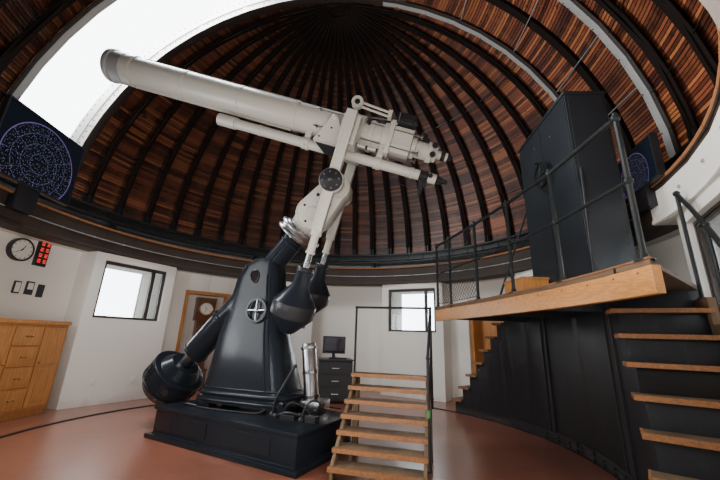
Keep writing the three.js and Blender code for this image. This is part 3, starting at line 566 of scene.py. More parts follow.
def painted_iron(name, colour, rough=0.42, chip=(0.20, 0.10, 0.06), amount=0.35, metal=0.25, speck=40.0):
    """Thick machine paint with worn chips, streaks and dust."""
    f = Finish(name, Metallic=metal, Specular_IOR_Level=0.5)
    cloud = f.noise(2.2, 5.0, 0.6)
    fine = f.noise(speck, 4.0, 0.7)
    peel = f.noise(speck * 4.0, 2.0, 0.5)
    chips = (fine * 0.6 + cloud * 0.4).between(0.60, 0.64) * amount
    tone = f.shade(colour, 0.82 + cloud * 0.36)
    tone = f.mix(chips, tone, chip)
    return f.end(tone, rough - 0.08 + cloud * 0.16 + chips * 0.2, bump=peel * 0.3 - chips, strength=0.25,
                 depth=0.0012)


def dark_steel(colours):
    return painted_iron("green_black_steel", colours.girder, 0.4, (0.16, 0.075, 0.035), 0.5)


def stair_paint(colours):
    """Satin black cladding with vertical board joints and scuffed edges."""
    f = Finish("stair_cladding", Specular_IOR_Level=0.45)
    x, y, z = f.axes()
    cloud = f.noise(1.6, 5.0, 0.6)
    scratch = f.noise(14.0, 5.0, 0.75, f.stretched((1, 1, 5)))
    angle = y.math("ARCTAN2", x) * DEGREES
    seam = ((angle / 3.5).fraction() < 0.03) + (abs(z - 1.18) < 0.003)
    tone = f.shade(colours.cladding, 0.8 + cloud * 0.5)
    tone = f.mix(scratch.between(0.60, 0.78) * 0.3, tone, (0.13, 0.13, 0.135))
    tone = f.mix(z.between(0.42, 0.30) * 0.4, tone, (0.13, 0.10, 0.085))
    tone = f.mix(seam.clamp(), tone, (0.002, 0.002, 0.002))
    return f.end(tone, 0.33 + cloud * 0.22, bump=scratch * 0.25 + cloud * 0.1 - seam, strength=0.5,
                 depth=0.003)


def machine_black(colours):
    """Blue black gloss enamel over a casting."""
    f = Finish("casting_enamel", Specular_IOR_Level=0.12, Coat_Weight=0.26, Coat_Roughness=0.12)
    cloud = f.noise(1.3, 4.0)
    fine = f.noise(26.0, 4.0, 0.6)
    rub = f.noise(9.0, 6.0, 0.75).between(0.62, 0.74)
    tone = f.mix(cloud, colours.casting, tinted(colours.casting, 1.9))
    tone = f.mix(rub * 0.25, tone, (0.050, 0.050, 0.054))
    return f.end(tone, 0.24 + fine * 0.12 + rub * 0.15, bump=fine * 0.5 + cloud, strength=0.22, depth=0.002)


def ivory_enamel(colours):
    f = Finish("ivory_enamel", Specular_IOR_Level=0.5, Coat_Weight=0.35, Coat_Roughness=0.2)
    cloud = f.noise(1.7, 5.0, 0.6)
    fine = f.noise(55.0, 4.0, 0.7)
    stain = f.noise(6.5, 6.0, 0.75)
    chips = (fine * 0.5 + stain * 0.5).between(0.665, 0.68)
    tone = f.shade(colours.enamel, 0.88 + cloud * 0.2)
    tone = f.mix(stain.between(0.52, 0.75) * 0.3, tone, (0.42, 0.38, 0.30))
    tone = f.mix(chips * 0.7, tone, (0.12, 0.10, 0.085))
    return f.end(tone, 0.30 + stain * 0.22, bump=fine * 0.3 - chips, strength=0.2, depth=0.001)


def arm_enamel(colours):
    """Ivory on the arms, bare steel on their rods and black on the weights."""
    f = Finish("balance_arm_enamel", Specular_IOR_Level=0.18, Coat_Weight=0.16, Coat_Roughness=0.15)
    down = f.along(DECLINATION, 2)
    cloud = f.noise(2.0, 5.0)
    fine = f.noise(45.0, 4.0, 0.7)
    rod = down < -0.93
    weight = down < -1.12
    tone = f.shade(colours.enamel, 0.86 + cloud * 0.22)
    tone = f.mix(rod, tone, (0.48, 0.49, 0.50))
    tone = f.mix(weight, tone, f.shade((0.008, 0.010, 0.014), 0.7 + cloud * 0.9))
    rough = 0.34 + fine * 0.1 - rod * 0.12 + weight * 0.05
    return f.end(tone, rough, metallic=rod - weight, bump=fine, strength=0.15, depth=0.001)


def turned_steel(colours):
    f = Finish("turned_steel", Metallic=1.0)
    smear = f.noise(3.0, 4.0, 0.6)
    hair = f.noise(160.0, 2.0, 0.6)
    tone = f.mix(smear.between(0.4, 0.75) * 0.5, (0.62, 0.63, 0.64), (0.30, 0.27, 0.24))
    return f.end(tone, 0.16 + smear * 0.2 + hair * 0.08, bump=hair, strength=0.08, depth=0.0005)


def worn_brass(colours):
    f = Finish("worn_brass", Metallic=1.0)
    smear = f.noise(12.0, 4.0, 0.6)
    return f.end(f.mix(smear, (0.62, 0.42, 0.16), (0.28, 0.17, 0.07)), 0.25 + smear * 0.25)


def riveted_white(colours):
    """White paint on riveted plate, with rust that runs down from its edges; on the room side the arches'
    inner faces and the whole rear half are painted grey or black as painted shade.
    """
    f = Finish("riveted_white", Metallic=0.1)
    cloud = f.noise(1.1, 5.0, 0.6)
    stain = f.noise(7.0, 6.0, 0.75, f.stretched((1, 1, 3)))
    x, y, z = f.axes()
    radius = (x * x + (z - DOME_Z) ** 2.0).math("SQRT")
    inward = radius < ARCH_INNER + 0.006
    behind = x > 0.9
    north_flange = y > ARCH_OUTER - 0.065
    south_flange = (y > -SLIT_HALF - 0.060) * (y < 0.0)
    flange = (north_flange + south_flange).clamp()
    tone = f.shade(colours.arch, 0.86 + cloud * 0.22)
    tone = f.mix(stain.between(0.56, 0.74) * 0.5, tone, (0.36, 0.20, 0.10))
    # Painted shade: on the room side the inner faces of the arches, and all of the rear half, are grey or
    # black in place of white.
    grey = f.shade((0.36, 0.36, 0.355), 0.8 + cloud * 0.4)
    black = f.shade((0.030, 0.022, 0.019), 0.6 + cloud * 0.8)
    front_white_and_painted_shade = f.mix(inward, tone, f.mix(south_flange, black, grey))
    back_painted_shade = f.mix(inward * flange, black, grey)
    room_side = radius < BOARD + 0.01
    tone = f.mix(room_side, tone, f.mix(behind, front_white_and_painted_shade, back_painted_shade))
    return f.end(tone, 0.44 + stain * 0.25, bump=stain, strength=0.15, depth=0.002)


def weathered_zinc(f, colours):
    """The tone of the zinc with its bloom and its runs, and the bloom itself."""
    bloom = f.noise(2.4, 6.0, 0.65)
    run = f.noise(5.0, 5.0, 0.7, f.stretched((1, 1, 8)))
    tone = f.mix(bloom.between(0.35, 0.7), colours.zinc, tinted(colours.zinc, 0.68))
    return f.mix(run.between(0.55, 0.75) * 0.35, tone, (0.30, 0.27, 0.24)), bloom


def zinc_sheet(colours):
    f = Finish("zinc_sheet", Metallic=0.55)
    tone, bloom = weathered_zinc(f, colours)
    return f.end(tone, 0.42 + bloom * 0.22, bump=bloom, strength=0.15, depth=0.002)


def shell_skin(colours):
    """Boards towards the room, zinc sheet in upright bays towards the weather."""
    f = Finish("shell_skin", Specular_IOR_Level=0.4)
    x, y, z = f.axes()
    out = x * x + y * y + (z - DOME_Z) ** 2.0
    outside = out > (BOARD + 0.009) ** 2
    sheet, bloom = weathered_zinc(f, colours)
    tone = f.mix(outside, tinted(colours.boards, 0.35), sheet)
    return f.end(tone, 0.62 - outside * 0.15, metallic=outside * 0.55, bump=bloom, strength=0.15,
                 depth=0.002)


def dome_boards(colours):
    """Varnished lining boards: each board has its own colour, its butt joints, grain and dark knots, with
    painted shade beside the ribs and painted light that brightens them towards +x and -y.
    """
    f = Finish("dome_boards", Specular_IOR_Level=0.45, Coat_Weight=0.2, Coat_Roughness=0.35)
    x, y, z = f.axes()
    radius = from_axis(x, y)
    rise = (z - DOME_Z).math("ARCTAN2", radius)
    turn_angle = (abs(y) - CROWN_Y).math("ARCTAN2", x)
    between_arches = (abs(y) < ARCH_OUTER) * (x > 0.0)
    courses = rise * (BOARD / bpy.context.scene.observatory_sizes.board_width)
    board = courses.floor()
    ribs = turn_angle * (RIB_COUNT / math.pi) - 0.5
    bay = ribs.floor() * (1 - between_arches) + (y > 0) * between_arches * 40 + (y > 0) * 100
    own = f.cell(board, bay, 2.0)
    other = f.cell(board, bay, 9.0)
    bay_tone = f.cell(bay, 4.0, 5.0)
    grain = f.noise(1.0, 6.0, 0.65, f.vector(turn_angle * 7.0, rise * 420.0, own * 50.0))
    streak = f.noise(1.0, 3.0, 0.5, f.vector(turn_angle * 16.0, rise * 7.0, bay_tone * 0.2))
    soot = f.noise(0.55, 3.0, 0.5)
    knot = f.noise(9.0, 2.0, 0.4).between(0.70, 0.76)
    # Painted shade: the boards darken towards each rib.
    painted_rib_shade = ((ribs.fraction() - 0.5).math("ABSOLUTE") > 0.36) * (1 - between_arches)
    seam = courses.fraction() < 0.16
    tone = f.mix(own, tinted(colours.boards, 0.30), tinted(colours.boards, 1.5))
    tone = f.mix((other > 0.76) * 0.8, tone, colours.boards_light)
    tone = f.mix((other < 0.20) * 0.8, tone, tinted(colours.boards, 0.14))
    tone = f.mix(grain.between(0.42, 0.68) * 0.4, tone, tinted(colours.boards, 0.2))
    tone = f.mix(streak.between(0.50, 0.70) * 0.35, tone, tinted(colours.boards_light, 0.8))
    tone = f.mix(soot.between(0.45, 0.65) * 0.45, tone, tinted(colours.boards, 0.18))
    tone = f.mix(seam * 0.75, tone, (0.008, 0.004, 0.003))
    tone = f.mix(painted_rib_shade * 0.6, tone, (0.008, 0.004, 0.003))
    tone = f.mix(knot * 0.8, tone, (0.012, 0.006, 0.004))
    # Painted light and shade: the boards are brighter towards +x and -y and darker towards -x and +y.
    painted_light_side = (x * 0.16 - y * 0.07).between(-0.1, 0.75)
    tone = f.shade(tone, 0.62 + painted_light_side * 1.1)
    return f.end(tone, 0.38 + grain * 0.22, bump=grain - knot, strength=0.35, depth=0.002)


def rib_wood(colours):
    f = Finish("rib_wood", Specular_IOR_Level=0.12)
    grain = f.noise(9.0, 5.0, 0.65, f.stretched((1, 1, 4)))
    return f.end(f.mix(grain, colours.ribs, tinted(colours.ribs, 2.2)), 0.55 + grain * 0.25, bump=grain,
                 strength=0.3, depth=0.002)


def grained(name, light, dark, fine=1.0, turn_z=0.0, stretch=(14, 1, 1), rough=0.34, coat=0.35, line=0.55):
    """Sawn or planed wood with its grain along the long side."""
    f = Finish(name, Specular_IOR_Level=0.45, Coat_Weight=coat, Coat_Roughness=0.25)
    place = f.stretched(stretch, (0, 0, turn_z))
    ring = f.noise(7.0 * fine, 3.0, 0.5, place, 0.8)
    figure = ((ring * 9.0).fraction() - 0.5).math("ABSOLUTE") * 2.0
    pore = f.noise(60.0 * fine, 4.0, 0.7, place)
    cloud = f.noise(1.7, 3.0)
    tone = f.mix(figure * line, light, dark)
    tone = f.mix(pore.between(0.5, 0.75) * 0.4, tone, tinted(dark, 0.6))
    tone = f.shade(tone, 0.84 + cloud * 0.32)
    return f.end(tone, rough + pore * 0.2, bump=pore * 0.6 + figure * 0.3, strength=0.25, depth=0.001)


def honey_pine(colours):
    return grained("honey_pine", colours.pine, tinted(colours.pine, 0.55), stretch=(1, 1, 12))


def beam_pine(colours):
    return grained("beam_pine", tinted(colours.pine, 0.95), tinted(colours.pine, 0.5), 1.4, -8.0, (1, 16, 1),
                   0.3)


def worn_treads(colours):
    """Bare treads: grey brown where feet fall, dark in the grain and in patches of dirt."""
    f = Finish("worn_treads", Specular_IOR_Level=0.3)
    place = f.stretched((1, 1, 1), (0, 0, 8))
    grain = f.noise(8.0, 6.0, 0.7, f.stretched((9, 1.2, 9), (0, 0, 70)))
    wear = f.noise(2.6, 5.0, 0.65, place)
    dirt = f.noise(24.0, 5.0, 0.75)
    tone = f.mix(wear.between(0.38, 0.66), colours.treads, tinted(colours.treads, 0.55))
    tone = f.mix(grain.between(0.45, 0.72) * 0.6, tone, tinted(colours.treads, 0.32))
    tone = f.mix(dirt.between(0.58, 0.74) * 0.5, tone, (0.07, 0.055, 0.045))
    return f.end(tone, 0.52 + wear * 0.25, bump=grain, strength=0.4, depth=0.002)


def clear_glass(colours):
    f = Finish("clear_glass", Roughness=0.03, IOR=1.45, Transmission_Weight=1.0)
    smear = f.noise(6.0, 4.0)
    return f.end(f.mix(smear, (0.93, 0.96, 0.97), (0.86, 0.91, 0.93)), 0.02 + smear * 0.04)


def lens_glass(colours):
    f = Finish("lens_glass", Roughness=0.03, Specular_IOR_Level=0.9, Coat_Weight=1.0)
    smear = f.noise(3.0, 2.0)
    return f.end(f.mix(smear, (0.010, 0.014, 0.030), (0.030, 0.022, 0.045)), 0.04 + smear * 0.03)


def dial_face(colours):
    f = Finish("dial_face", Roughness=0.5)
    age = f.noise(14.0, 4.0)
    return f.end(f.shade((0.78, 0.76, 0.70), 0.9 + age * 0.15), 0.45 + age * 0.1)


def rubber(colours):
    f = Finish("cable_rubber", Specular_IOR_Level=0.35)
    fine = f.noise(60.0, 3.0)
    return f.end(f.mix(fine, (0.012, 0.012, 0.013), (0.035, 0.034, 0.034)), 0.5 + fine * 0.2, bump=fine,
                 strength=0.1, depth=0.001)


def screen_glass(place, width, height, name):
    """A dark screen with a plain pattern of rings, spokes and scattered points."""
    f = Finish(name, Roughness=0.12, Specular_IOR_Level=0.6, Emission_Strength=1.0)
    u = f.along(place, 1)
    v = f.along(place, 2)
    lowered = v + height * 0.14
    far = (u * u + lowered * lowered).math("SQRT") / (height * 0.56)
    inside = far < 1.0
    rings = (((far * 4.0).fraction() - 0.5).math("ABSOLUTE") > 0.482) * inside
    angle = lowered.math("ARCTAN2", u) * (6 / math.pi)
    spokes = ((angle.fraction() - 0.5).math("ABSOLUTE") > 0.492) * inside * (far > 0.24)
    rim = (far - 1.0).math("ABSOLUTE") < 0.010
    grid = f.node("ShaderNodeTexVoronoi", {"feature": "F1", "voronoi_dimensions": "2D"}, {
        "Vector": f.vector(u, v, 0.0), "Scale": 26.0 / height, "Randomness": 1.0})
    near = Value(f.tree, grid.outputs["Distance"])
    stars = (near < 0.075) * inside
    wide = near > 0.20
    line = f.mix(rings + spokes, (0.002, 0.003, 0.005), (0.10, 0.075, 0.19))
    line = f.mix(rim, line, (0.16, 0.10, 0.30))
    line = f.mix(stars, line, (0.50, 0.48, 0.70))
    glow = f.noise(3.0, 3.0)
    tone = f.mix(glow * wide, (0.004, 0.006, 0.010), (0.008, 0.011, 0.018))
    return f.end(tone, 0.10 + glow * 0.06, glow=line)


def red_lamps(colours):
    f = Finish("red_lamps", Roughness=0.3, Emission_Strength=1.5)
    flicker = f.noise(40.0, 2.0)
    return f.end(f.mix(flicker, (0.30, 0.01, 0.01), (0.45, 0.02, 0.015)), 0.3,
                 glow=f.mix(flicker, (0.75, 0.03, 0.02), (1.0, 0.06, 0.04)))


def step_finish(colours):
    """Wood on the small steps, iron on their rails."""
    f = Finish("small_steps_finish", Specular_IOR_Level=0.35)
    across = f.along(STEPS, 1)
    up = f.along(STEPS, 2)
    iron = ((abs(across) > 0.4302) + (up > 0.846)).clamp()
    grain = f.noise(8.0, 6.0, 0.7, f.stretched((1.0, 12, 1.0), (0, 0, -11)))
    wear = f.noise(3.2, 5.0, 0.65)
    dirt = f.noise(24.0, 5.0, 0.75)
    tone = f.mix(wear.between(0.36, 0.66), tinted(colours.treads, 1.25), tinted(colours.treads, 0.6))
    tone = f.mix(grain.between(0.45, 0.72) * 0.55, tone, tinted(colours.treads, 0.36))
    tone = f.mix(dirt.between(0.60, 0.74) * 0.5, tone, (0.07, 0.055, 0.045))
    tone = f.mix(iron, tone, f.shade((0.014, 0.015, 0.016), 0.7 + dirt * 0.8))
    return f.end(tone, 0.52 + wear * 0.22 - iron * 0.15, bump=grain, strength=0.3, depth=0.002)


def deck_finish(colours):
    """Deck boards with dark gaps and worn middles."""
    f = Finish("deck_boards", Specular_IOR_Level=0.35)
    x, y, _ = f.axes()
    across = x * 0.982 + y * 0.19
    board = (across / 0.115).floor()
    own = f.cell(board, 4.0, 1.0)
    gap = (across / 0.115).fraction() < 0.035
    grain = f.noise(7.0, 6.0, 0.7, f.stretched((1, 14, 1), (0, 0, -11)))
    wear = f.noise(2.2, 5.0, 0.65)
    tone = f.mix(own, colours.treads, tinted(colours.treads, 0.65))
    tone = f.mix(grain.between(0.45, 0.7) * 0.5, tone, tinted(colours.treads, 0.35))
    tone = f.mix(wear.between(0.5, 0.75) * 0.4, tone, (0.10, 0.08, 0.065))
    tone = f.mix(gap, tone, (0.006, 0.005, 0.004))
    return f.end(tone, 0.5 + wear * 0.25, bump=grain - gap, strength=0.4, depth=0.003)


def green_tape(colours):
    f = Finish("green_tape", Roughness=0.45)
    fray = f.noise(70.0, 4.0)
    return f.end(f.mix(fray, (0.02, 0.12, 0.03), (0.04, 0.18, 0.05)), 0.4 + fray * 0.2)


def own(recipe, *values, **named):
    """A recipe with colours of its own, which the panel doesn't change."""
    return lambda colours: recipe(*values, **named)


DARK_STAIN = (0.05, 0.02, 0.01)
RECIPES = {
    "limewash": limewash, "screed": screed, "casing": beam_casing, "dark_steel": dark_steel,
    "cladding": stair_paint, "casting": machine_black, "ivory": ivory_enamel, "arm": arm_enamel,
    "steel": turned_steel, "brass": worn_brass, "white_plate": riveted_white, "zinc": zinc_sheet,
    "shell": shell_skin, "boards": dome_boards, "rib": rib_wood, "pine": honey_pine, "beam_pine": beam_pine,
    "treads": worn_treads, "glass": clear_glass, "lens": lens_glass, "dial": dial_face, "rubber": rubber,
    "steps": step_finish, "deck": deck_finish, "tape": green_tape, "lamps": red_lamps,
    "tower_blue": own(painted_iron, "tower_paint", (0.017, 0.021, 0.026), 0.45, (0.12, 0.12, 0.12), 0.25,
                      0.1),
    "black": own(painted_iron, "satin_black", (0.018, 0.018, 0.021), 0.36, (0.10, 0.09, 0.085), 0.25, 0.1),
    "window_frame": own(painted_iron, "bronze_frame", (0.050, 0.040, 0.036), 0.38, (0.16, 0.12, 0.10), 0.3,
                        0.1),
    "desk_grey": own(painted_iron, "desk_grey", (0.045, 0.047, 0.050), 0.45, (0.14, 0.13, 0.12), 0.2, 0.0),
    "walnut": own(grained, "walnut", (0.16, 0.065, 0.030), DARK_STAIN, stretch=(1, 1, 12), rough=0.28,
                  coat=0.5),
    "nosing": own(grained, "nosing_wood", (0.27, 0.120, 0.050), (0.10, 0.042, 0.017), 1.6, 70.0, (12, 1, 1),
                  0.42,
                  0.1),
}


# What a user can change

class ObservatorySizes(bpy.types.PropertyGroup):
    board_width: bpy.props.FloatProperty(
        name="Board width", description="Showing width of one lining board", default=0.054, min=0.03,
        max=0.2,
        unit="LENGTH")
    board_lap: bpy.props.FloatProperty(
        name="Board lap", description="How far each board stands proud of the next", default=0.008, min=0.0,
        max=0.02, unit="LENGTH")
    rivet_pitch: bpy.props.FloatProperty(
        name="Rivet pitch", description="Distance between the rivets of the arches", default=0.12, min=0.05,
        max=0.5, unit="LENGTH")
    glazing_bar: bpy.props.FloatProperty(
        name="Glazing bar", description="Width of a window's bars", default=0.022, min=0.015, max=0.1,
        unit="LENGTH")
    tread_edge: bpy.props.FloatProperty(
        name="Tread edge", description="Height of the hardwood edge along a tread", default=0.030, min=0.01,
        max=0.05, unit="LENGTH")
    net_mesh: bpy.props.FloatProperty(
        name="Net mesh", description="Side of one diamond of the netting", default=0.075, min=0.03, max=0.2,
        unit="LENGTH")


def colour_property(name, description, default):
    return bpy.props.FloatVectorProperty(name=name, description=description, default=default, min=0.0,
                                         max=1.0,
                                         size=3, subtype="COLOR")


class ObservatoryColours(bpy.types.PropertyGroup):
    plaster: colour_property("Plaster", "Limewash on the walls", (0.80, 0.775, 0.73))
    floor: colour_property("Floor", "Terracotta screed", (0.270, 0.094, 0.056))
    casing: colour_property("Beam casing", "Timber casing of the ring beam", (0.054, 0.038, 0.030))
    girder: colour_property("Girder", "Paint of the dome's ring girder", (0.014, 0.017, 0.018))
    cladding: colour_property("Cladding", "Paint of the observing stair", (0.011, 0.012, 0.015))
    casting: colour_property("Castings", "Enamel of the pier", (0.006, 0.008, 0.011))
    enamel: colour_property("Enamel", "Enamel of the telescope", (0.43, 0.415, 0.375))
    arch: colour_property("Arches", "Paint of the slit arches", (0.62, 0.61, 0.58))
    zinc: colour_property("Zinc", "Sheet metal of the dome", (0.44, 0.46, 0.47))
    boards: colour_property("Boards", "Varnished lining boards", (0.135, 0.036, 0.016))
    boards_light: colour_property("Light boards", "The paler streaks of the boards", (0.320, 0.108, 0.038))
    ribs: colour_property("Ribs", "Stain of the dome's ribs", (0.007, 0.0048, 0.004))
    pine: colour_property("Pine", "Varnished pine", (0.55, 0.240, 0.070))
    treads: colour_property("Treads", "Bare wood of the treads", (0.150, 0.098, 0.060))


# Dome lining, hoops and skin

def lining_rows():
    """The lower and upper rise of each board, in radians, from the girder to the crown."""
    width = bpy.context.scene.observatory_sizes.board_width
    first = math.asin((GIRDER_TOP + 0.004 - DOME_Z) / BOARD)
    start = math.floor(first * BOARD / width)
    end = math.ceil(0.5 * math.pi * BOARD / width)
    return [(max(i * width / BOARD, first), min((i + 1) * width / BOARD, math.pi / 2)) for i in range(start,
                                                                                                      end)]


def board_strip(maker, low, high, lap, start, end, steps):
    """One lapped board: its lower edge stands in towards the room, its upper edge lies under the next."""
    thick = 0.010
    rows = []
    for i in range(steps + 1):
        a = start + (end - start) * i / steps
        row = []
        for rise, radius in ((low, LINING), (low, LINING - thick - lap), (high, LINING - thick),
                             (high, LINING)):
            ring_radius = radius * math.cos(rise)
            row.append((ring_radius * math.cos(a), ring_radius * math.sin(a),
                        DOME_Z + radius * math.sin(rise)))
        rows.append(row)
    maker.rings(rows)


class OBSERVATORY_OT_lining(bpy.types.Operator):
    """Boards the inside of the dome, hoop after hoop, between the girder and the crown"""
    bl_idname = "observatory.lining"
    bl_label = "Lining boards"

    def execute(self, context):
        lap = context.scene.observatory_sizes.board_lap
        halves = {"north": Maker(), "south": Maker(), "rear": Maker()}
        for low, high in lining_rows():
            reach = BOARD * math.cos(high)
            if reach - 0.02 > ARCH_OUTER + 0.004:
                a = math.asin((ARCH_OUTER + 0.004) / (reach - 0.02))
                board_strip(halves["north"], low, high, lap, a, math.pi - a, 46)
                board_strip(halves["south"], low, high, lap, -a, a - math.pi, 46)
            if reach > REAR_END:
                a = math.asin((SLIT_HALF - 0.004) / (BOARD * math.cos(low)))
                board_strip(halves["rear"], low, high, lap, -a, a, 8)
        for side, maker in halves.items():
            maker.piece(f"lining_boards_{side}", "dome", "boards", ["boards"], angle=25)
        dress(["shell_north", "shell_south", "shell_rear"], "shell", 40)
        dress(["ribs_north", "ribs_south"], "rib", 40, 0.003)
        return {"FINISHED"}


def rib_planes():
    """Turn and offset of each rib of one half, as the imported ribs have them."""
    for i in range(RIB_COUNT):
        angle = math.radians(180 * (i + 0.5) / RIB_COUNT)
        yield angle, CROWN_Y * math.cos(angle), CROWN_Y * math.sin(angle) + 0.238


class OBSERVATORY_OT_hoops(bpy.types.Operator):
    """Adds the hoops, the caps and shoes of the ribs, the rear rib, the tie rods and the crown bolts"""
    bl_idname = "observatory.hoops"
    bl_label = "Hoops and tie rods"

    def execute(self, context):
        for side, name in ((1, "north"), (-1, "south")):
            hoops = Maker()
            for rise in (14, 27, 40, 53, 66):
                radius = (RIB_INNER - 0.008) * math.cos(math.radians(rise))
                height = DOME_Z + (RIB_INNER - 0.008) * math.sin(math.radians(rise))
                edge = (ARCH_OUTER + 0.03) / radius
                if edge >= 1:
                    continue
                edge = math.degrees(math.asin(edge))
                path = [polar(radius, side * (edge + (180 - 2 * edge) * i / 60), height) for i in range(61)]
                hoops.pipe(path, 0.007 if rise != 40 else 0.011, 6)
            hoops.piece(f"hoop_rods_{name}", "dome", "dark_steel", ["dark_steel"])
            caps = Maker()
            for angle, offset, start in rib_planes():
                radius = math.sqrt(RIB_INNER ** 2 - offset ** 2)
                low = math.asin((GIRDER_TOP + 0.01 - DOME_Z) / radius)
                high = math.acos(start / radius)
                rows = []
                for k in range(15):
                    e = low + (high - low) * k / 14
                    row = []
                    for across, drop in ((-CAP_HALF, 0.0), (-CAP_HALF, -0.012), (CAP_HALF, -0.012),
                                         (CAP_HALF, 0.0)):
                        r = radius + drop
                        x = r * math.cos(e)
                        y = offset + across
                        row.append((x * math.cos(angle) - y * math.sin(angle),
                                    side * (x * math.sin(angle) + y * math.cos(angle)),
                                    DOME_Z + r * math.sin(e)))
                    rows.append(row)
                caps.rings(rows, caps=True)
            caps.piece(f"rib_caps_{name}", "dome", "rib_timber", ["rib"])
            blocks = Maker()
            for angle, offset, _ in rib_planes():
                radius = math.sqrt(RIB_INNER ** 2 - offset ** 2)
                place = Matrix.Diagonal((1, side, 1, 1)) @ Matrix.Rotation(angle, 4, "Z")
                for y0, y1 in ((-0.05, -0.018), (0.018, 0.05)):
                    blocks.box((radius - 0.05, offset + y0, GIRDER_TOP),
                               (radius + 0.06, offset + y1, GIRDER_TOP + 0.17), place)
                for height in (0.05, 0.12):
                    centre = place @ Vector((radius, offset - 0.05, GIRDER_TOP + height))
                    outward = place.to_3x3() @ Vector((0, -1, 0))
                    blocks.nut(centre, outward, 0.012)
            blocks.piece(f"rib_shoes_{name}", "dome", "dark_steel", ["dark_steel"])
        self.between_the_arches()
        crown = Maker()
        for side in (1, -1):
            for turn_angle in spread(12, 168, 12):
                place = shift(0, side * CROWN_Y, 0)
                centre = place @ Vector((0.21 * math.cos(math.radians(turn_angle)),
                                         side * 0.21 * math.sin(math.radians(turn_angle)),
                                         DOME_Z + RIB_INNER - 0.085))
                crown.nut(centre, (0, 0, -1), 0.014)
        crown.piece("crown_bolts", "dome", "dark_steel", ["dark_steel"])
        return {"FINISHED"}

    def between_the_arches(self):
        """The single rib behind the slit, and the thin rods that tie the two arches."""
        rib = Maker()
        section = [(RIB_INNER, -CAP_HALF), (BOARD - 0.012, -CAP_HALF), (BOARD - 0.012, CAP_HALF),
                   (RIB_INNER, CAP_HALF)]
        rib.rings([[hoop(r, rise, y) for r, y in section] for rise in spread(2.2, 72.2, 31)], caps=True)
        rib.piece("rear_rib", "dome", "rib_timber", ["rib"], 0.003)
        rods = Maker()
        for rise in (17, 29, 43, 58):
            ends = [hoop(RIB_INNER - 0.018, rise, side * (SLIT_HALF + 0.02)) for side in (-1, 1)]
            rods.bar(*ends, 0.009, 8)
        rods.piece("arch_tie_rods", "dome", "white_steel", ["zinc"])


class OBSERVATORY_OT_zinc(bpy.types.Operator):
    """Lays the standing seams and the riveted skirt over the dome's zinc sheet"""
    bl_idname = "observatory.zinc"
    bl_label = "Zinc roof"

    def execute(self, context):
        seams = Maker()
        low = math.asin((GIRDER_TOP + 0.02 - DOME_Z) / SKIN)
        for i in range(48):
            angle = math.radians(360 * (i + 0.5) / 48)
            path = []
            for k in range(25):
                rise = low + (math.radians(86) - low) * k / 24
                r = SKIN * math.cos(rise)
                point = Vector((r * math.cos(angle), r * math.sin(angle), DOME_Z + SKIN * math.sin(rise)))
                rear = point.x > 1.35 and abs(point.y) < SLIT_HALF - 0.02
                if abs(point.y) < ARCH_OUTER + 0.02 and not rear:
                    break
                path.append(point)
            if len(path) > 1:
                rows = []
                across = Vector((-math.sin(angle), math.cos(angle), 0))
                for point in path:
                    out = (point - Vector((0, 0, DOME_Z))).normalized()
                    rows.append([point - out * 0.004 - across * 0.009, point + out * 0.028 - across * 0.006,
                                 point + out * 0.028 + across * 0.006, point - out * 0.004 + across * 0.009])
                seams.rings(rows, caps=True)
        seams.piece("roof_seams", "dome", "boards", ["zinc"])
        skirt = Maker()
        profile = [(4.700, 3.655), (4.715, 3.60), (4.770, 3.252), (4.777, 3.252), (4.722, 3.60),
                   (4.706, 3.665), (4.640, 3.700), (4.640, 3.694)]
        skirt.turned(profile, 96, closed=True)
        for i in range(72):
            a = 360 * i / 72
            skirt.head(polar(4.745, a, 3.50), polar(1, a, 0.2), 0.012, 6)
        skirt.piece("roof_skirt", "dome", "boards", ["zinc"])
        return {"FINISHED"}


class OBSERVATORY_OT_arches(bpy.types.Operator):
    """Rivets the arches on both sides of the slit and fits their straps and edge angles"""
    bl_idname = "observatory.arches"
    bl_label = "Slit arches"

    def execute(self, context):
        pitch = context.scene.observatory_sizes.rivet_pitch
        for side, name in ((1, "north"), (-1, "south")):
            rivets = Maker()
            inner_face = side * SLIT_HALF
            low = 2.2
            for radius, face, normal in ((BOARD - 0.10, inner_face, -side),
                                         (BOARD - 0.02, inner_face, -side),
                                         (BOARD + 0.17, inner_face, -side),
                                         (BOARD - 0.09, side * ARCH_OUTER, side)):
                count = int(math.radians(178) * radius / pitch)
                for i in range(count):
                    e = low + (180 - 2 * low) * (i + 0.5) / count
                    if radius > BOARD and e < 76:
                        continue
                    rivets.head(hoop(radius, e, face), (0, normal, 0), 0.014, 6)
            count = int(math.radians(178) * ARCH_INNER / pitch)
            for i in range(count):
                e = low + (180 - 2 * low) * (i + 0.5) / count
                inward = (-math.cos(math.radians(e)), 0, -math.sin(math.radians(e)))
                for y in (side * (SLIT_HALF - 0.025), side * (ARCH_OUTER + 0.006)):
                    rivets.head(hoop(ARCH_INNER, e, y), inward, 0.012, 6)
            rivets.piece(f"arch_rivets_{name}", "dome", "white_steel", ["dark_steel"])
            straps = Maker()
            near, far = sorted((inner_face, inner_face - side * 0.008))
            for e in spread(20, 160, 13):
                straps.box((BOARD - 0.125, near, -0.045), (BOARD + 0.03, far, 0.045),
                           shift(0, 0, DOME_Z) @ turn(-e, "Y"))
            section = ((0.030, 0.0), (0.030, 0.01925), (0.037, 0.01925), (0.037, 0.0))
            straps.rings([[hoop(BOARD + out, e, inner_face - side * y) for out, y in section]
                          for e in spread(2.0, 178.0, 61)], caps=True)
            straps.piece(f"arch_straps_{name}", "dome", "white_steel", ["white_plate"])
        dress(["slit_arch_north", "slit_arch_south", "slit_end_cheek"], "white_plate", 30, 0.002)
        return {"FINISHED"}


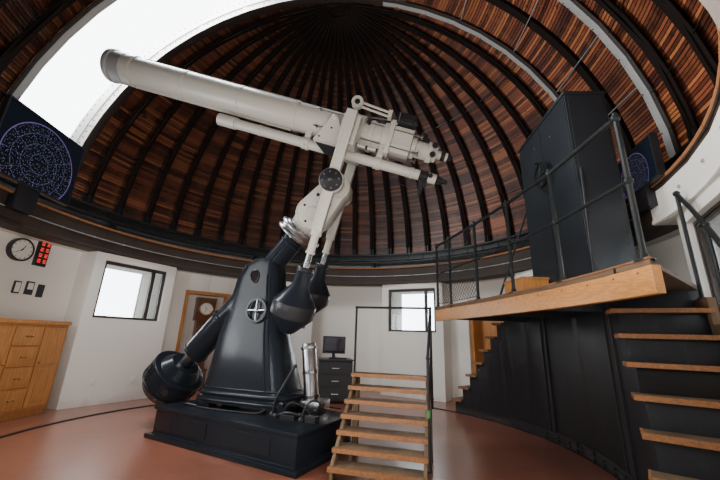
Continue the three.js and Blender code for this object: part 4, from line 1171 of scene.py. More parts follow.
class OBSERVATORY_OT_shutters(bpy.types.Operator):
    """Adds the stiffening ribs, seams and bolts of the two shutter leaves"""
    bl_idname = "observatory.shutters"
    bl_label = "Shutter leaves"

    def execute(self, context):
        for side, name in ((1, "north"), (-1, "south")):
            low, high = sorted((side * 0.680, side * 1.400))
            leaf = Maker()
            for e in spread(80, 174, 12):
                place = shift(0, 0, DOME_Z) @ turn(-e, "Y")
                leaf.box((4.842, low + 0.02, -0.018), (4.851, high - 0.02, 0.018), place)
                leaf.box((4.889, low + 0.01, -0.010), (4.905, high - 0.01, 0.010), place)
                for y in spread(low + 0.08, high - 0.08, 5):
                    leaf.head(place @ Vector((4.905, y, 0)), place.to_3x3() @ Vector((1, 0, 0)), 0.012, 6)
            section = ((4.888, -0.012), (4.908, -0.012), (4.908, 0.012), (4.888, 0.012))
            for y in (low + 0.012, high - 0.012):
                leaf.rings([[hoop(r, e, y + d) for r, d in section] for e in spread(76, 177, 41)], caps=True)
            leaf.piece(f"shutter_ribs_{name}", f"shutter_{name}_leaf", "zinc", ["zinc"])
        dress(["shutter_north", "shutter_south"], "zinc", 30, 0.002)
        return {"FINISHED"}


class OBSERVATORY_OT_girder(bpy.types.Operator):
    """Fits the ring girder with stiffeners, bolts and conduit, and lays the toothed rack by the rail"""
    bl_idname = "observatory.girder"
    bl_label = "Ring girder"

    def execute(self, context):
        fittings = Maker()
        for i in range(72):
            place = turn(5 * i + 2.5)
            fittings.box((4.352, -0.006, 3.455), (4.385, 0.006, 3.615), place)
            for z in (3.57, 3.50):
                fittings.nut(place @ Vector((4.379, 0.07, z)), place.to_3x3() @ Vector((-1, 0, 0)), 0.013)
        fittings.turned([(4.330, 3.605), (4.362, 3.605), (4.362, 3.617), (4.330, 3.617)], 96, closed=True)
        fittings.piece("girder_stiffeners", "dome", "dark_steel", ["dark_steel"])
        conduit = Maker()
        ring_path = [polar(4.345, 3.75 * k, 3.475) for k in range(96)]
        conduit.pipe(ring_path, 0.011, 8, closed=True)
        for i in range(36):
            conduit.box((4.334, -0.016, 3.462), (4.382, 0.016, 3.488), turn(10 * i + 5))
        conduit.piece("girder_conduit", "dome", "dark_steel", ["black"])
        rack = Maker()
        teeth = []
        for i in range(720):
            a = math.radians(0.5 * i)
            radius = 4.440 if i % 2 else 4.452
            teeth.append((radius * math.cos(a), radius * math.sin(a)))
        top = [(x, y, RAIL_TOP - 0.012) for x, y in teeth]
        bottom = [(x, y, BEAM_TOP + 0.0005) for x, y in teeth]
        outer_low = [(4.486 * math.cos(math.radians(0.5 * i)), 4.486 * math.sin(math.radians(0.5 * i)),
                      BEAM_TOP + 0.0005) for i in range(720)]
        outer_top = [(x, y, RAIL_TOP - 0.012) for x, y, _ in outer_low]
        rack.rings([bottom, top, outer_top, outer_low], closed_rows=True)
        for i in range(48):
            rack.box((4.40, -0.03, BEAM_TOP), (4.60, 0.03, BEAM_TOP + 0.014), turn(7.5 * i))
            for x in (4.415, 4.585):
                rack.nut(turn(7.5 * i) @ Vector((x, 0, BEAM_TOP + 0.014)), (0, 0, 1), 0.012)
        rack.piece("turning_rack", "building", "dark_steel", ["dark_steel"])
        dress(["dome_ring_girder", "dome_rail"], "dark_steel", 30, 0.003)
        return {"FINISHED"}


# Building

class OBSERVATORY_OT_walls(bpy.types.Operator):
    """Finishes the drum: limewash, floor, beam casing with its trims and conduit, sockets, outer courses"""
    bl_idname = "observatory.walls"
    bl_label = "Walls and beam"

    def execute(self, context):
        walls = [f"wall_quarter_{i}" for i in range(1, 5)]
        dress(walls + ["door_lintel"], "limewash", 25, 0.006)
        dress(["ring_beam"], "casing", 25)
        dress(["floor_slab"], "screed", 25, 0.006)
        dress(["floor_rail"], "dark_steel", 25, 0.002)
        trim = Maker()
        trim.turned([(3.978, 2.806), (4.001, 2.806), (4.001, 2.850), (3.986, 2.856), (3.978, 2.840)], 96,
                    closed=True)
        trim.turned([(3.984, 3.176), (4.001, 3.176), (4.001, 3.222), (3.972, 3.222), (3.972, 3.200)], 96,
                    closed=True)
        trim.piece("beam_trim", "building", "fascia", ["casing"])
        conduit = Maker()
        conduit.pipe([polar(3.985, -10.0 + 3.75 * k, 3.000) for k in range(83)], 0.010, 8)
        for i in range(48):
            conduit.box((3.975, -0.012, 2.987), (4.001, 0.012, 3.013), turn(7.5 * i + 3))
        conduit.piece("beam_conduit", "building", "dark_steel", ["zinc"])
        fittings = Maker()
        for angle in WINDOW_ANGLES:
            place = turn(angle)
            fittings.box((3.988, 0.30, 0.62), (4.0005, 0.38, 0.70), place)
            fittings.box((3.984, 0.315, 0.635), (3.9885, 0.365, 0.685), place)
            fittings.box((3.986, -0.36, 0.62), (4.0005, -0.28, 0.70), place)
        fittings.piece("wall_sockets", "building", "dial_white", ["dial"], 0.003)
        band = Maker()
        band.turned([(4.899, 2.780), (4.930, 2.780), (4.945, 2.800), (4.945, 2.850), (4.930, 2.865),
                     (4.899, 2.865)], 96, closed=True)
        band.turned([(5.070, 3.150), (5.079, 3.150), (5.079, 3.228), (4.95, 3.236), (4.95, 3.222),
                     (5.070, 3.214)], 96, closed=True)
        band.piece("outer_string_course", "building", "plaster", ["limewash"])
        return {"FINISHED"}


class OBSERVATORY_OT_windows(bpy.types.Operator):
    """Makes the eight windows: frame, opening sash, glazing bars, sill, glass and handle"""
    bl_idname = "observatory.windows"
    bl_label = "Windows"

    def execute(self, context):
        bar = context.scene.observatory_sizes.glazing_bar
        half = WINDOW_WIDTH / 2 - 0.0003
        low, high = WINDOW_SILL + 0.0003, WINDOW_HEAD - 0.0003
        for number, angle in enumerate(WINDOW_ANGLES):
            made = Maker(turn(angle))
            made.surround(4.060, 4.130, -half, half, low, high, 0.030)
            split = -half + 0.24
            made.surround(4.068, 4.118, -half + 0.032, split - bar / 2, low + 0.032, high - 0.032, bar)
            made.surround(4.068, 4.118, split + bar / 2, half - 0.032, low + 0.032, high - 0.032, bar)
            made.box((4.062, split - bar / 2, low + 0.03), (4.126, split + bar / 2, high - 0.03))
            made.paint = 1
            made.box((4.088, -half + 0.04, low + 0.04), (4.094, split, high - 0.04))
            made.box((4.088, split, low + 0.04), (4.094, half - 0.04, high - 0.04))
            made.paint = 2
            middle = (low + high) / 2
            made.box((4.050, split - 0.075, middle - 0.012), (4.062, split - 0.035, middle + 0.012))
            made.bar((4.047, split - 0.055, middle - 0.10), (4.047, split - 0.055, middle + 0.012), 0.008,
                     10)
            made.piece(f"window_sash_{number + 1}", "building", "frame_dark",
                       ["window_frame", "glass", "steel"], 0.002)
            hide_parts(f"window_{number + 1}")
            sill = Maker(turn(angle))
            sill.box((4.0005, -half, low - 0.0001), (4.059, half, low + 0.012))
            sill.box((4.131, -half, low - 0.0001), (4.920, half, low + 0.016))
            sill.box((4.899, -half - 0.06, low - 0.05), (4.955, half + 0.06, low + 0.016))
            sill.box((4.899, -half - 0.09, high), (4.935, half + 0.09, high + 0.09))
            for side in (-1, 1):
                y0, y1 = sorted((side * half, side * (half + 0.09)))
                sill.box((4.899, y0, low + 0.016), (4.925, y1, high))
            sill.piece(f"window_surround_{number + 1}", "building", "plaster", ["limewash"], 0.004)
        return {"FINISHED"}


class OBSERVATORY_OT_joinery(bpy.types.Operator):
    """Makes the cupboard fronts, the door panels, the casings, the tall clock and the wall fittings"""
    bl_idname = "observatory.joinery"
    bl_label = "Joinery and clocks"

    def execute(self, context):
        dress(["cupboard", "entrance_casing", "clock_niche_casing", "entrance_door"], "pine", 30, 0.004)
        dress(["tall_clock"], "walnut", 30, 0.006)
        self.cupboard_fronts()
        self.door_panels()
        self.tall_clock_dial()
        self.wall_fittings()
        return {"FINISHED"}

    def cupboard_fronts(self):
        fronts = Maker(turn(CUPBOARD_BAY))
        front = RECESS - 0.510
        for z0 in spread(0.43, 1.255, 4):
            fronts.box((front - 0.018, -0.250, z0), (front + 0.001, 0.120, z0 + 0.255))
            fronts.box((front - 0.022, -0.220, z0 + 0.03), (front - 0.016, 0.090, z0 + 0.225))
        for y0, y1 in ((-0.605, -0.270), (0.140, 0.605)):
            fronts.box((front - 0.016, y0, 0.43), (front + 0.001, y1, 1.50))
            for z0, z1 in ((0.49, 0.93), (0.99, 1.44)):
                fronts.box((front - 0.021, y0 + 0.065, z0), (front - 0.014, y1 - 0.065, z1))
        fronts.box((front - 0.030, -0.655, 1.545), (front + 0.02, 0.655, 1.575))
        fronts.paint = 1
        for z in spread(0.555, 1.380, 4):
            for y in (-0.10, -0.03):
                fronts.ball((front - 0.036, y, z), 0.015, 6, 12)
                fronts.bar((front - 0.020, y, z), (front - 0.034, y, z), 0.007, 8)
            fronts.bar((front - 0.040, -0.105, z - 0.004), (front - 0.040, -0.025, z - 0.004), 0.006, 8)
        for y in (-0.300, 0.170):
            fronts.ball((front - 0.034, y, 1.02), 0.015, 6, 12)
            fronts.bar((front - 0.018, y, 1.02), (front - 0.030, y, 1.02), 0.007, 8)
        fronts.piece("cupboard_fronts", "building", "pine", ["pine", "brass"], 0.004)

    def door_panels(self):
        panels = Maker(turn(DOOR_BAY))
        for x0, x1 in ((4.774, 4.786), (4.834, 4.846)):
            for y0, y1 in ((-0.36, -0.03), (0.03, 0.36)):
                for z0, z1 in ((0.45, 1.15), (1.30, 2.20)):
                    panels.box((x0, y0, z0), (x1, y1, z1))
                    panels.box((x0 - 0.003, y0 + 0.05, z0 + 0.05), (x1 + 0.003, y1 - 0.05, z1 - 0.05))
        panels.paint = 1
        for x, out in ((4.785, -1), (4.835, 1)):
            panels.box((min(x, x + out * 0.012), 0.365, 1.22), (max(x, x + out * 0.012), 0.405, 1.40))
            panels.bar((x, 0.385, 1.33), (x + out * 0.055, 0.385, 1.33), 0.009, 10)
            panels.bar((x + out * 0.050, 0.392, 1.33), (x + out * 0.050, 0.270, 1.33), 0.009, 10)
        panels.piece("door_panels", "door", "pine", ["pine", "brass"], 0.004)

    def tall_clock_dial(self):
        place = turn(CLOCK_BAY) @ shift(RECESS, 0, FLOOR + 1.740)
        facing = place @ turn(-90, "Y")
        clock = Maker(facing)
        clock.turned([(0, 0.008), (0.132, 0.008), (0.132, 0.0), (0.0, 0.0)], 40)
        clock.paint = 1
        clock.turned([(0.128, 0.0), (0.150, 0.0), (0.150, 0.014), (0.140, 0.020), (0.128, 0.012)], 40,
                     closed=True)
        clock.paint = 2
        for k in range(12):
            clock.box((-0.003, 0.100, 0.008), (0.003, 0.120, 0.0095), turn(30 * k))
        clock.box((-0.004, -0.02, 0.010), (0.004, 0.070, 0.012), turn(-55))
        clock.box((-0.003, -0.02, 0.012), (0.003, 0.100, 0.014), turn(70))
        clock.paint = 1
        clock.turned([(0, 0.018), (0.008, 0.016), (0.008, 0.008)], 12)
        clock.paint = 3
        clock.at = turn(CLOCK_BAY)
        face = RECESS + 0.010
        clock.box((face + 0.018, -0.105, FLOOR + 0.50), (face + 0.031, 0.105, FLOOR + 1.40))
        for proud, half, low, high in ((0.010, 0.215, 1.94, 1.985), (0.006, 0.205, 1.47, 1.50),
                                       (0.006, 0.215, 0.405, 0.435), (0.006, 0.215, 0.002, 0.08)):
            clock.box((face - proud, -half, FLOOR + low), (face + 0.20, half, FLOOR + high))
        clock.paint = 4
        clock.box((face + 0.014, -0.070, FLOOR + 0.58), (face + 0.019, 0.070, FLOOR + 1.32))
        clock.piece("tall_clock_front", "building", "clock_wood",
                    ["dial", "brass", "black", "walnut", "lens"], 0.002)

    def wall_fittings(self):
        dress(["wall_clock"], "black", 30, 0.004)
        place = turn(CUPBOARD_BAY) @ shift(RECESS - 0.065, 0, FLOOR + 2.300) @ turn(-90, "Y")
        clock = Maker(place)
        clock.turned([(0, 0.006), (0.150, 0.006), (0.150, -0.002)], 48)
        clock.paint = 1
        clock.turned([(0.146, 0.0), (0.170, -0.002), (0.172, 0.012), (0.160, 0.020), (0.148, 0.014)], 48,
                     closed=True)
        for k in range(60):
            if k % 5:
                clock.box((-0.0015, 0.134, 0.006), (0.0015, 0.142, 0.0072), turn(6 * k))
            else:
                clock.box((-0.004, 0.118, 0.006), (0.004, 0.142, 0.0075), turn(6 * k))
        clock.box((-0.005, -0.025, 0.008), (0.005, 0.080, 0.010), turn(-118))
        clock.box((-0.003, -0.03, 0.010), (0.003, 0.115, 0.012), turn(35))
        clock.turned([(0, 0.016), (0.010, 0.014), (0.010, 0.006)], 16)
        clock.piece("wall_clock_face", "building", "dial_white", ["dial", "black"])
        board = Maker(turn(CUPBOARD_BAY))
        wall = RECESS - 0.004
        board.box((wall - 0.045, -0.42, 2.42), (wall, -0.24, 2.92))
        board.box((wall - 0.030, -0.17, 1.97), (wall, -0.08, 2.15))
        board.box((wall - 0.030, -0.36, 1.97), (wall, -0.25, 2.17))
        board.box((wall - 0.028, -0.53, 1.95), (wall, -0.42, 2.15))
        board.paint = 1
        for row in range(5):
            for column in range(2):
                z = 2.47 + row * 0.09
                y = -0.405 + column * 0.085
                for bar in spread(z, z + 0.044, 3):
                    board.box((wall - 0.048, y, bar), (wall - 0.044, y + 0.05, bar + 0.010))
        board.paint = 2
        board.box((wall - 0.034, -0.160, 1.99), (wall - 0.028, -0.090, 2.13))
        board.box((wall - 0.034, -0.345, 2.05), (wall - 0.028, -0.265, 2.15))
        board.piece("wall_instruments", "building", "black_paint", ["black", "lamps", "dial"], 0.002)


# Telescope

class OBSERVATORY_OT_telescope(bpy.types.Operator):
    """Enamels the refractor and adds its bands, objective, focuser, guide telescope, knobs and rods"""
    bl_idname = "observatory.telescope"
    bl_label = "Refractor"

    def execute(self, context):
        dress(["main_tube", "finder_tube"], "ivory", 32)
        dress(["cradle", "polar_head", "breech_box"], "ivory", 32, 0.008)
        dress(["near_balance_arm", "far_balance_arm"], "arm", 32, 0.006)
        dress(["motor_drum"], "black", 32, 0.006)
        dress(["declination_axle"], "steel", 32, 0.003)
        self.tube_bands()
        self.objective()
        self.breech()
        self.finder()
        self.arms()
        return {"FINISHED"}

    def tube_bands(self):
        bands = Maker(TUBE)
        for x, wide, high in ((-3.372, 0.030, 0.016), (-2.55, 0.022, 0.006), (-1.70, 0.022, 0.006),
                              (-0.86, 0.030, 0.008), (0.235, 0.040, 0.012), (0.440, 0.055, 0.030)):
            r = TUBE_R
            bands.turned([(r - 0.001, x - wide), (r + high, x - wide * 0.8), (r + high, x + wide * 0.8),
                          (r - 0.001, x + wide)], 56, ALONG_X)
            if high > 0.007:
                for c, s in circle(16):
                    out = Vector((0, c, s))
                    bands.head(Vector((x, 0, 0)) + out * (r + high), out, 0.011, 8)
        for z in (0.216, -0.216):
            bands.box((-3.30, -0.012, z - 0.012), (-0.9, 0.012, z + 0.012))
            for x in spread(-3.2, -1.0, 12):
                bands.head((x, 0, z + math.copysign(0.012, z)), (0, 0, z), 0.008, 6)
        for y in (-0.300, -0.215):
            bands.prism([(-0.470, -0.330), (-0.050, -0.330), (-0.105, -0.180), (-0.235, 0.060),
                         (-0.300, 0.060), (-0.400, -0.180)], -y - 0.018, -y, turn(90, "X"))
        bands.ball((-0.268, -0.291, 0.030), 0.040, 8, 14)
        bands.box((-0.455, -0.300, -0.345), (-0.065, -0.200, -0.322))
        bands.bar((-0.100, -0.300, -0.250), (0.420, -0.300, -0.250), 0.020, 12)
        bands.bar((-0.030, -0.345, 0.290), (-0.030, -0.255, 0.290), 0.078, 32)
        for z in (0.262, 0.318):
            bands.bar((-0.030, -0.290, z), (0.420, -0.265, z - 0.030), 0.016, 12)
        bands.box((0.400, -0.310, 0.215), (0.450, -0.180, 0.310))
        bands.paint = 1
        bands.bar((-0.030, -0.349, 0.290), (-0.030, -0.344, 0.290), 0.036, 24)
        bands.bar((0.180, -0.245, 0.110), (0.180, -0.205, 0.110), 0.030, 20)
        bands.prism([(-0.440, -0.345), (-0.080, -0.345), (-0.150, -0.470), (-0.270, -0.470)], 0.235, 0.262,
                    turn(90, "X"))
        for x, z in ((-0.400, -0.270), (-0.120, -0.270), (-0.268, 0.030), (-0.268, -0.120)):
            bands.head((x, -0.301, z), (0, -1, 0), 0.014, 10)
        for x in spread(-0.05, 0.38, 4):
            bands.bar((x, -0.300, -0.250), (x + 0.030, -0.300, -0.250), 0.026, 12)
        bands.piece("tube_bands", "tube_body", "ivory", ["ivory", "black"])

    def objective(self):
        cell = Maker(TUBE)
        front = TUBE_FRONT
        cell.turned([(0.192, front + 0.360), (0.192, front + 0.310), (0.168, front + 0.310),
                     (0.160, front + 0.330), (0.160, front + 0.360)], 48, ALONG_X, closed=True)
        for c, s in circle(6, 15):
            cell.head((front + 0.310, 0.178 * c, 0.178 * s), (-1, 0, 0), 0.008, 8)
        cell.paint = 2
        cell.turned([(0.232, front + 0.002), (0.237, front + 0.010), (0.237, front + 0.060),
                     (0.232, front + 0.068)], 56, ALONG_X)
        cell.turned([(0.216, front + 0.071), (0.222, front + 0.074), (0.222, front + 0.250),
                     (0.216, front + 0.256)], 56, ALONG_X)
        cell.paint = 1
        lens = [(0.165 * k / 8, front + 0.352 - 0.016 * (1 - (k / 8) ** 2)) for k in range(9)]
        cell.turned(lens[::-1], 48, ALONG_X)
        cell.piece("objective_cell", "tube_body", "ivory", ["ivory", "lens", "zinc"])

    def breech(self):
        rear = TUBE_REAR
        parts = Maker(TUBE)
        for y in (-0.195, 0.195):
            for z in (-0.195, 0.195):
                parts.nut((rear + 0.060, y, z), (1, 0, 0), 0.016)
                parts.nut((rear, y, z), (-1, 0, 0), 0.014)
        parts.turned([(0.118, rear + 0.335), (0.150, rear + 0.340), (0.150, rear + 0.395),
                      (0.128, rear + 0.405)], 40, ALONG_X)
        parts.turned([(0.119, rear + 0.560), (0.136, rear + 0.565), (0.136, rear + 0.640),
                      (0.119, rear + 0.650)], 40, ALONG_X)
        for c, s in circle(48):
            out = Vector((0, c, s))
            centre = Vector((rear + 0.602, 0, 0)) + out * 0.137
            parts.bar(centre - Vector((0.030, 0, 0)), centre + Vector((0.030, 0, 0)), 0.004, 4)
        for z in (-0.10, 0.10):
            parts.box((rear + 0.070, -0.186, z - 0.05), (rear + 0.310, -0.180, z + 0.05))
            for x in (rear + 0.085, rear + 0.295):
                for dz in (-0.038, 0.038):
                    parts.head((x, -0.186, z + dz), (0, -1, 0), 0.007, 8)
        parts.paint = 1
        for y, z in ((-0.150, 0.060), (-0.150, -0.070), (0.150, 0.0)):
            out = math.copysign(1, y)
            parts.bar((rear + 0.640, y * 0.75, z), (rear + 0.640, y + out * 0.020, z), 0.014, 10)
            parts.turned([(0, 0), (0.036, 0.0), (0.040, 0.008), (0.040, 0.030), (0.034, 0.038), (0, 0.038)],
                         24, shift(rear + 0.640, y + out * 0.018, z) @ turn(-90 * out, "X"))
        parts.turned([(0.061, rear + 0.760), (0.074, rear + 0.764), (0.074, rear + 0.815),
                      (0.061, rear + 0.820)], 32, ALONG_X)
        parts.turned([(0.058, rear + 0.820), (0.060, rear + 0.866), (0.036, rear + 0.880),
                      (0.034, rear + 0.905), (0.026, rear + 0.912), (0, rear + 0.905)], 32, ALONG_X)
        parts.box((rear + 0.420, -0.040, 0.118), (rear + 0.560, 0.040, 0.180))
        parts.bar((rear + 0.49, 0, 0.17), (rear + 0.49, 0, 0.235), 0.030, 20)
        parts.paint = 2
        for y, z in ((-0.205, -0.120), (-0.205, 0.115), (0.205, -0.120)):
            parts.bar((-0.55, y, z), (rear + 0.420, y * 0.92, z), 0.008, 10)
            parts.bar((rear + 0.36, y * 0.925, z), (rear + 0.43, y * 0.92, z), 0.016, 12)
            parts.turned([(0, 0), (0.030, 0.004), (0.034, 0.014), (0.030, 0.026), (0, 0.030)], 20,
                         shift(rear + 0.430, y * 0.92, z) @ ALONG_X)
        for x in (-0.50, 0.06, 0.50):
            for y, z in ((-0.205, -0.120), (-0.205, 0.115)):
                parts.box((x - 0.012, y - 0.014, z - 0.014), (x + 0.012, y + 0.075, z + 0.014))
        parts.piece("focuser_fittings", "tube_body", "ivory", ["ivory", "black", "steel"], 0.0015)
        drum = Maker(TUBE @ shift(0, -0.060, 0.300))
        for x in (rear + 0.075, rear + 0.270):
            drum.turned([(0.109, x), (0.117, x + 0.005), (0.117, x + 0.030), (0.109, x + 0.035)], 32,
                        ALONG_X)
        for c, s in circle(20):
            centre = Vector((0, c, s)) * 0.110
            drum.bar(centre + Vector((rear + 0.112, 0, 0)), centre + Vector((rear + 0.268, 0, 0)), 0.005, 6)
        drum.turned([(0.0, rear + 0.345), (0.035, rear + 0.342), (0.045, rear + 0.320),
                     (0.045, rear + 0.316)], 24, ALONG_X)
        drum.paint = 1
        drum.bar((-0.02, 0.055, -0.060), (rear + 0.065, 0.020, -0.010), 0.009, 10)
        drum.paint = 2
        cable = [(rear + 0.19, 0.05, -0.10), (rear + 0.26, 0.11, -0.10), (rear + 0.33, 0.13, -0.18),
                 (rear + 0.33, 0.14, -0.30), (rear + 0.26, 0.15, -0.40), (rear + 0.16, 0.17, -0.46)]
        drum.pipe(curve(cable, 24), 0.007, 8)
        drum.piece("motor_fittings", "tube_body", "black_gloss", ["black", "steel", "rubber"])

    def finder(self):
        y, z, r = -0.090, -0.360, 0.070
        place = TUBE @ shift(0, y, z)
        parts = Maker(place)
        for x0, x1, high in ((-1.900, -1.640, 0.014), (-1.63, -1.605, 0.006), (-1.30, -1.27, 0.005),
                             (-0.655, -0.545, 0.012), (0.375, 0.485, 0.012), (0.90, 0.935, 0.008)):
            parts.turned([(r - 0.0005, x0), (r + high, x0 + 0.004), (r + high, x1 - 0.004),
                          (r - 0.0005, x1)], 40, ALONG_X)
        parts.turned([(r + 0.004, -1.899), (0.060, -1.901), (0.060, -1.85)], 40, ALONG_X)
        for x in (-0.600, 0.430):
            for c, s in circle(3, 90):
                out = Vector((0, c, s))
                parts.bar(Vector((x, 0, 0)) + out * 0.075, Vector((x, 0, 0)) + out * 0.115, 0.007, 8)
                parts.bar(Vector((x, 0, 0)) + out * 0.105, Vector((x, 0, 0)) + out * 0.120, 0.014, 10)
        parts.paint = 1
        parts.turned([(0, -1.865), (0.060, -1.872), (0.060, -1.868)], 32, ALONG_X)
        parts.paint = 2
        parts.turned([(0.069, 1.02), (0.080, 1.03), (0.080, 1.13), (0.070, 1.14)], 32, ALONG_X)
        parts.turned([(0.071, 1.250), (0.066, 1.262), (0.052, 1.275), (0.046, 1.330), (0.038, 1.342),
                      (0.030, 1.405), (0.022, 1.410), (0, 1.404)], 32, ALONG_X)
        for side in (-1, 1):
            parts.bar((1.16, side * 0.06, 0), (1.16, side * 0.120, 0), 0.010, 10)
            parts.turned([(0, 0), (0.028, 0.0), (0.030, 0.024), (0, 0.024)], 20,
                         shift(1.16, side * 0.116, 0) @ turn(-90 * side, "X"))
        parts.box((1.04, -0.035, -0.150), (1.15, 0.035, -0.062))
        parts.turned([(0, 0), (0.034, 0.0), (0.034, 0.05), (0.022, 0.06), (0.020, 0.11), (0.028, 0.12),
                      (0, 0.12)], 24, shift(1.09, 0, -0.145) @ turn(180, "X"))
        parts.pipe(curve([(1.05, 0.02, -0.08), (0.98, 0.05, -0.15), (0.86, 0.06, -0.18), (0.72, 0.06, -0.15),
                          (0.62, 0.05, -0.08)], 24), 0.006, 8)
        parts.piece("finder_fittings", "tube_body", "ivory", ["ivory", "lens", "black"])

    def arms(self):
        for side, name in ((-1, "near"), (1, "far")):
            y = side * ARM_SIDE
            parts = Maker(DECLINATION)
            outer = y + side * 0.0745
            parts.turned([(0, 0.052), (0.060, 0.050), (0.075, 0.038), (0.128, 0.034), (0.140, 0.024),
                          (0.142, 0.0)], 48, shift(0, outer, 0) @ turn(-90 * side, "X"))
            parts.paint = 1
            for c, s in circle(8, 20):
                parts.nut((0.100 * c, outer + side * 0.036, 0.100 * s), (0, side, 0), 0.010)
            parts.turned([(0, 0.064), (0.022, 0.062), (0.030, 0.050)], 20,
                         shift(0, outer, 0) @ turn(-90 * side, "X"))
            parts.paint = 2
            outer_face = y + side * 0.060
            for z0, z1 in ((-0.600, -0.170), (0.170, 0.640)):
                for x in (-0.052, 0.052):
                    low, high = sorted((outer_face, outer_face + side * 0.010))
                    parts.box((x - 0.010, low, z0), (x + 0.010, high, z1))
            for z in spread(0.21, 0.60, 4) + spread(-0.56, -0.21, 4):
                parts.head((0, outer_face, z), (0, side, 0), 0.013, 10)
            for paint, sides, profile in (
                    (2, 32, [(0.064, -0.700), (0.070, -0.690), (0.070, -0.635), (0.052, -0.620)]),
                    (2, 32, [(0.056, -0.930), (0.060, -0.925), (0.060, -0.90), (0.042, -0.89)]),
                    (2, 32, [(0.050, -0.900), (0.050, -0.690)]),
                    (0, 32, [(0.097, -1.10), (0.108, -1.112), (0.108, -1.150), (0.098, -1.162)]),
                    (0, 48, [(0.263, -1.548), (0.267, -1.556), (0.267, -1.700), (0.263, -1.708)]),
                    (0, 32, [(0.094, -1.908), (0.070, -1.925), (0.045, -1.930), (0, -1.930)])):
                parts.paint = paint
                parts.turned(profile, sides, shift(0, y, 0))
            for c, s in circle(3):
                parts.bar((0.268 * c, y + 0.268 * s, -1.628), (0.2751 * c, y + 0.2751 * s, -1.628), 0.014,
                          10)
            parts.piece(f"{name}_arm_fittings", "tube_body", "ivory", ["black", "steel", "ivory"], 0.0015)


def curve(points, steps):
    """A smooth path through points, of the kind that a bent pipe or a cable takes."""
    points = [Vector(point) for point in points]
    padded = [points[0] * 2 - points[1], *points, points[-1] * 2 - points[-2]]
    path = []
    spans = len(points) - 1
    for k in range(steps + 1):
        place = spans * k / steps
        i = min(int(place), spans - 1)
        t = place - i
        a, b, c, d = padded[i:i + 4]
        path.append(0.5 * (b * 2 + (c - a) * t + (a * 2 - b * 5 + c * 4 - d) * t * t
                           + (b * 3 - a - c * 3 + d) * t * t * t))
    return path


PIER_SECTIONS = [(0.690, 0.050, 0.680, 0.330), (0.750, 0.048, 0.672, 0.322), (0.870, 0.035, 0.620, 0.300),
                 (0.970, 0.022, 0.590, 0.288), (1.530, -0.040, 0.480, 0.214), (1.770, -0.052, 0.430, 0.161),
                 (2.260, -0.030, 0.335, 0.161), (2.430, 0.015, 0.260, 0.161), (2.520, 0.060, 0.150, 0.155)]
PIER_CORNER = 0.42


def pier_section(z):
    """Middle, half length and half depth of the pier at a height."""
    z = min(max(z, PIER_SECTIONS[0][0]), PIER_SECTIONS[-1][0])
    for low, high in zip(PIER_SECTIONS, PIER_SECTIONS[1:]):
        if z <= high[0]:
            t = (z - low[0]) / (high[0] - low[0])
            middle, length, depth = (low[i] + (high[i] - low[i]) * t for i in (1, 2, 3))
            return PIER_MIDDLE + middle, length, depth


def pier_face(x, z, out=0.0, side=-1):
    """A point on the pier's long side, and a little out from it."""
    middle, length, depth = pier_section(z)
    share = min(abs(x - middle) / length, 0.999)
    corner = math.sqrt(max(1 - share ** (2 / PIER_CORNER), 0.0)) ** PIER_CORNER
    return Vector((x, side * (depth * corner + out), z))


def pier_outline(z, out, corners=72):
    middle, length, depth = pier_section(z)
    points = []
    for c, s in circle(corners):
        points.append((middle + (length + out) * math.copysign(abs(c) ** PIER_CORNER, c),
                       (depth + out) * math.copysign(abs(s) ** PIER_CORNER, s), z))
    return points


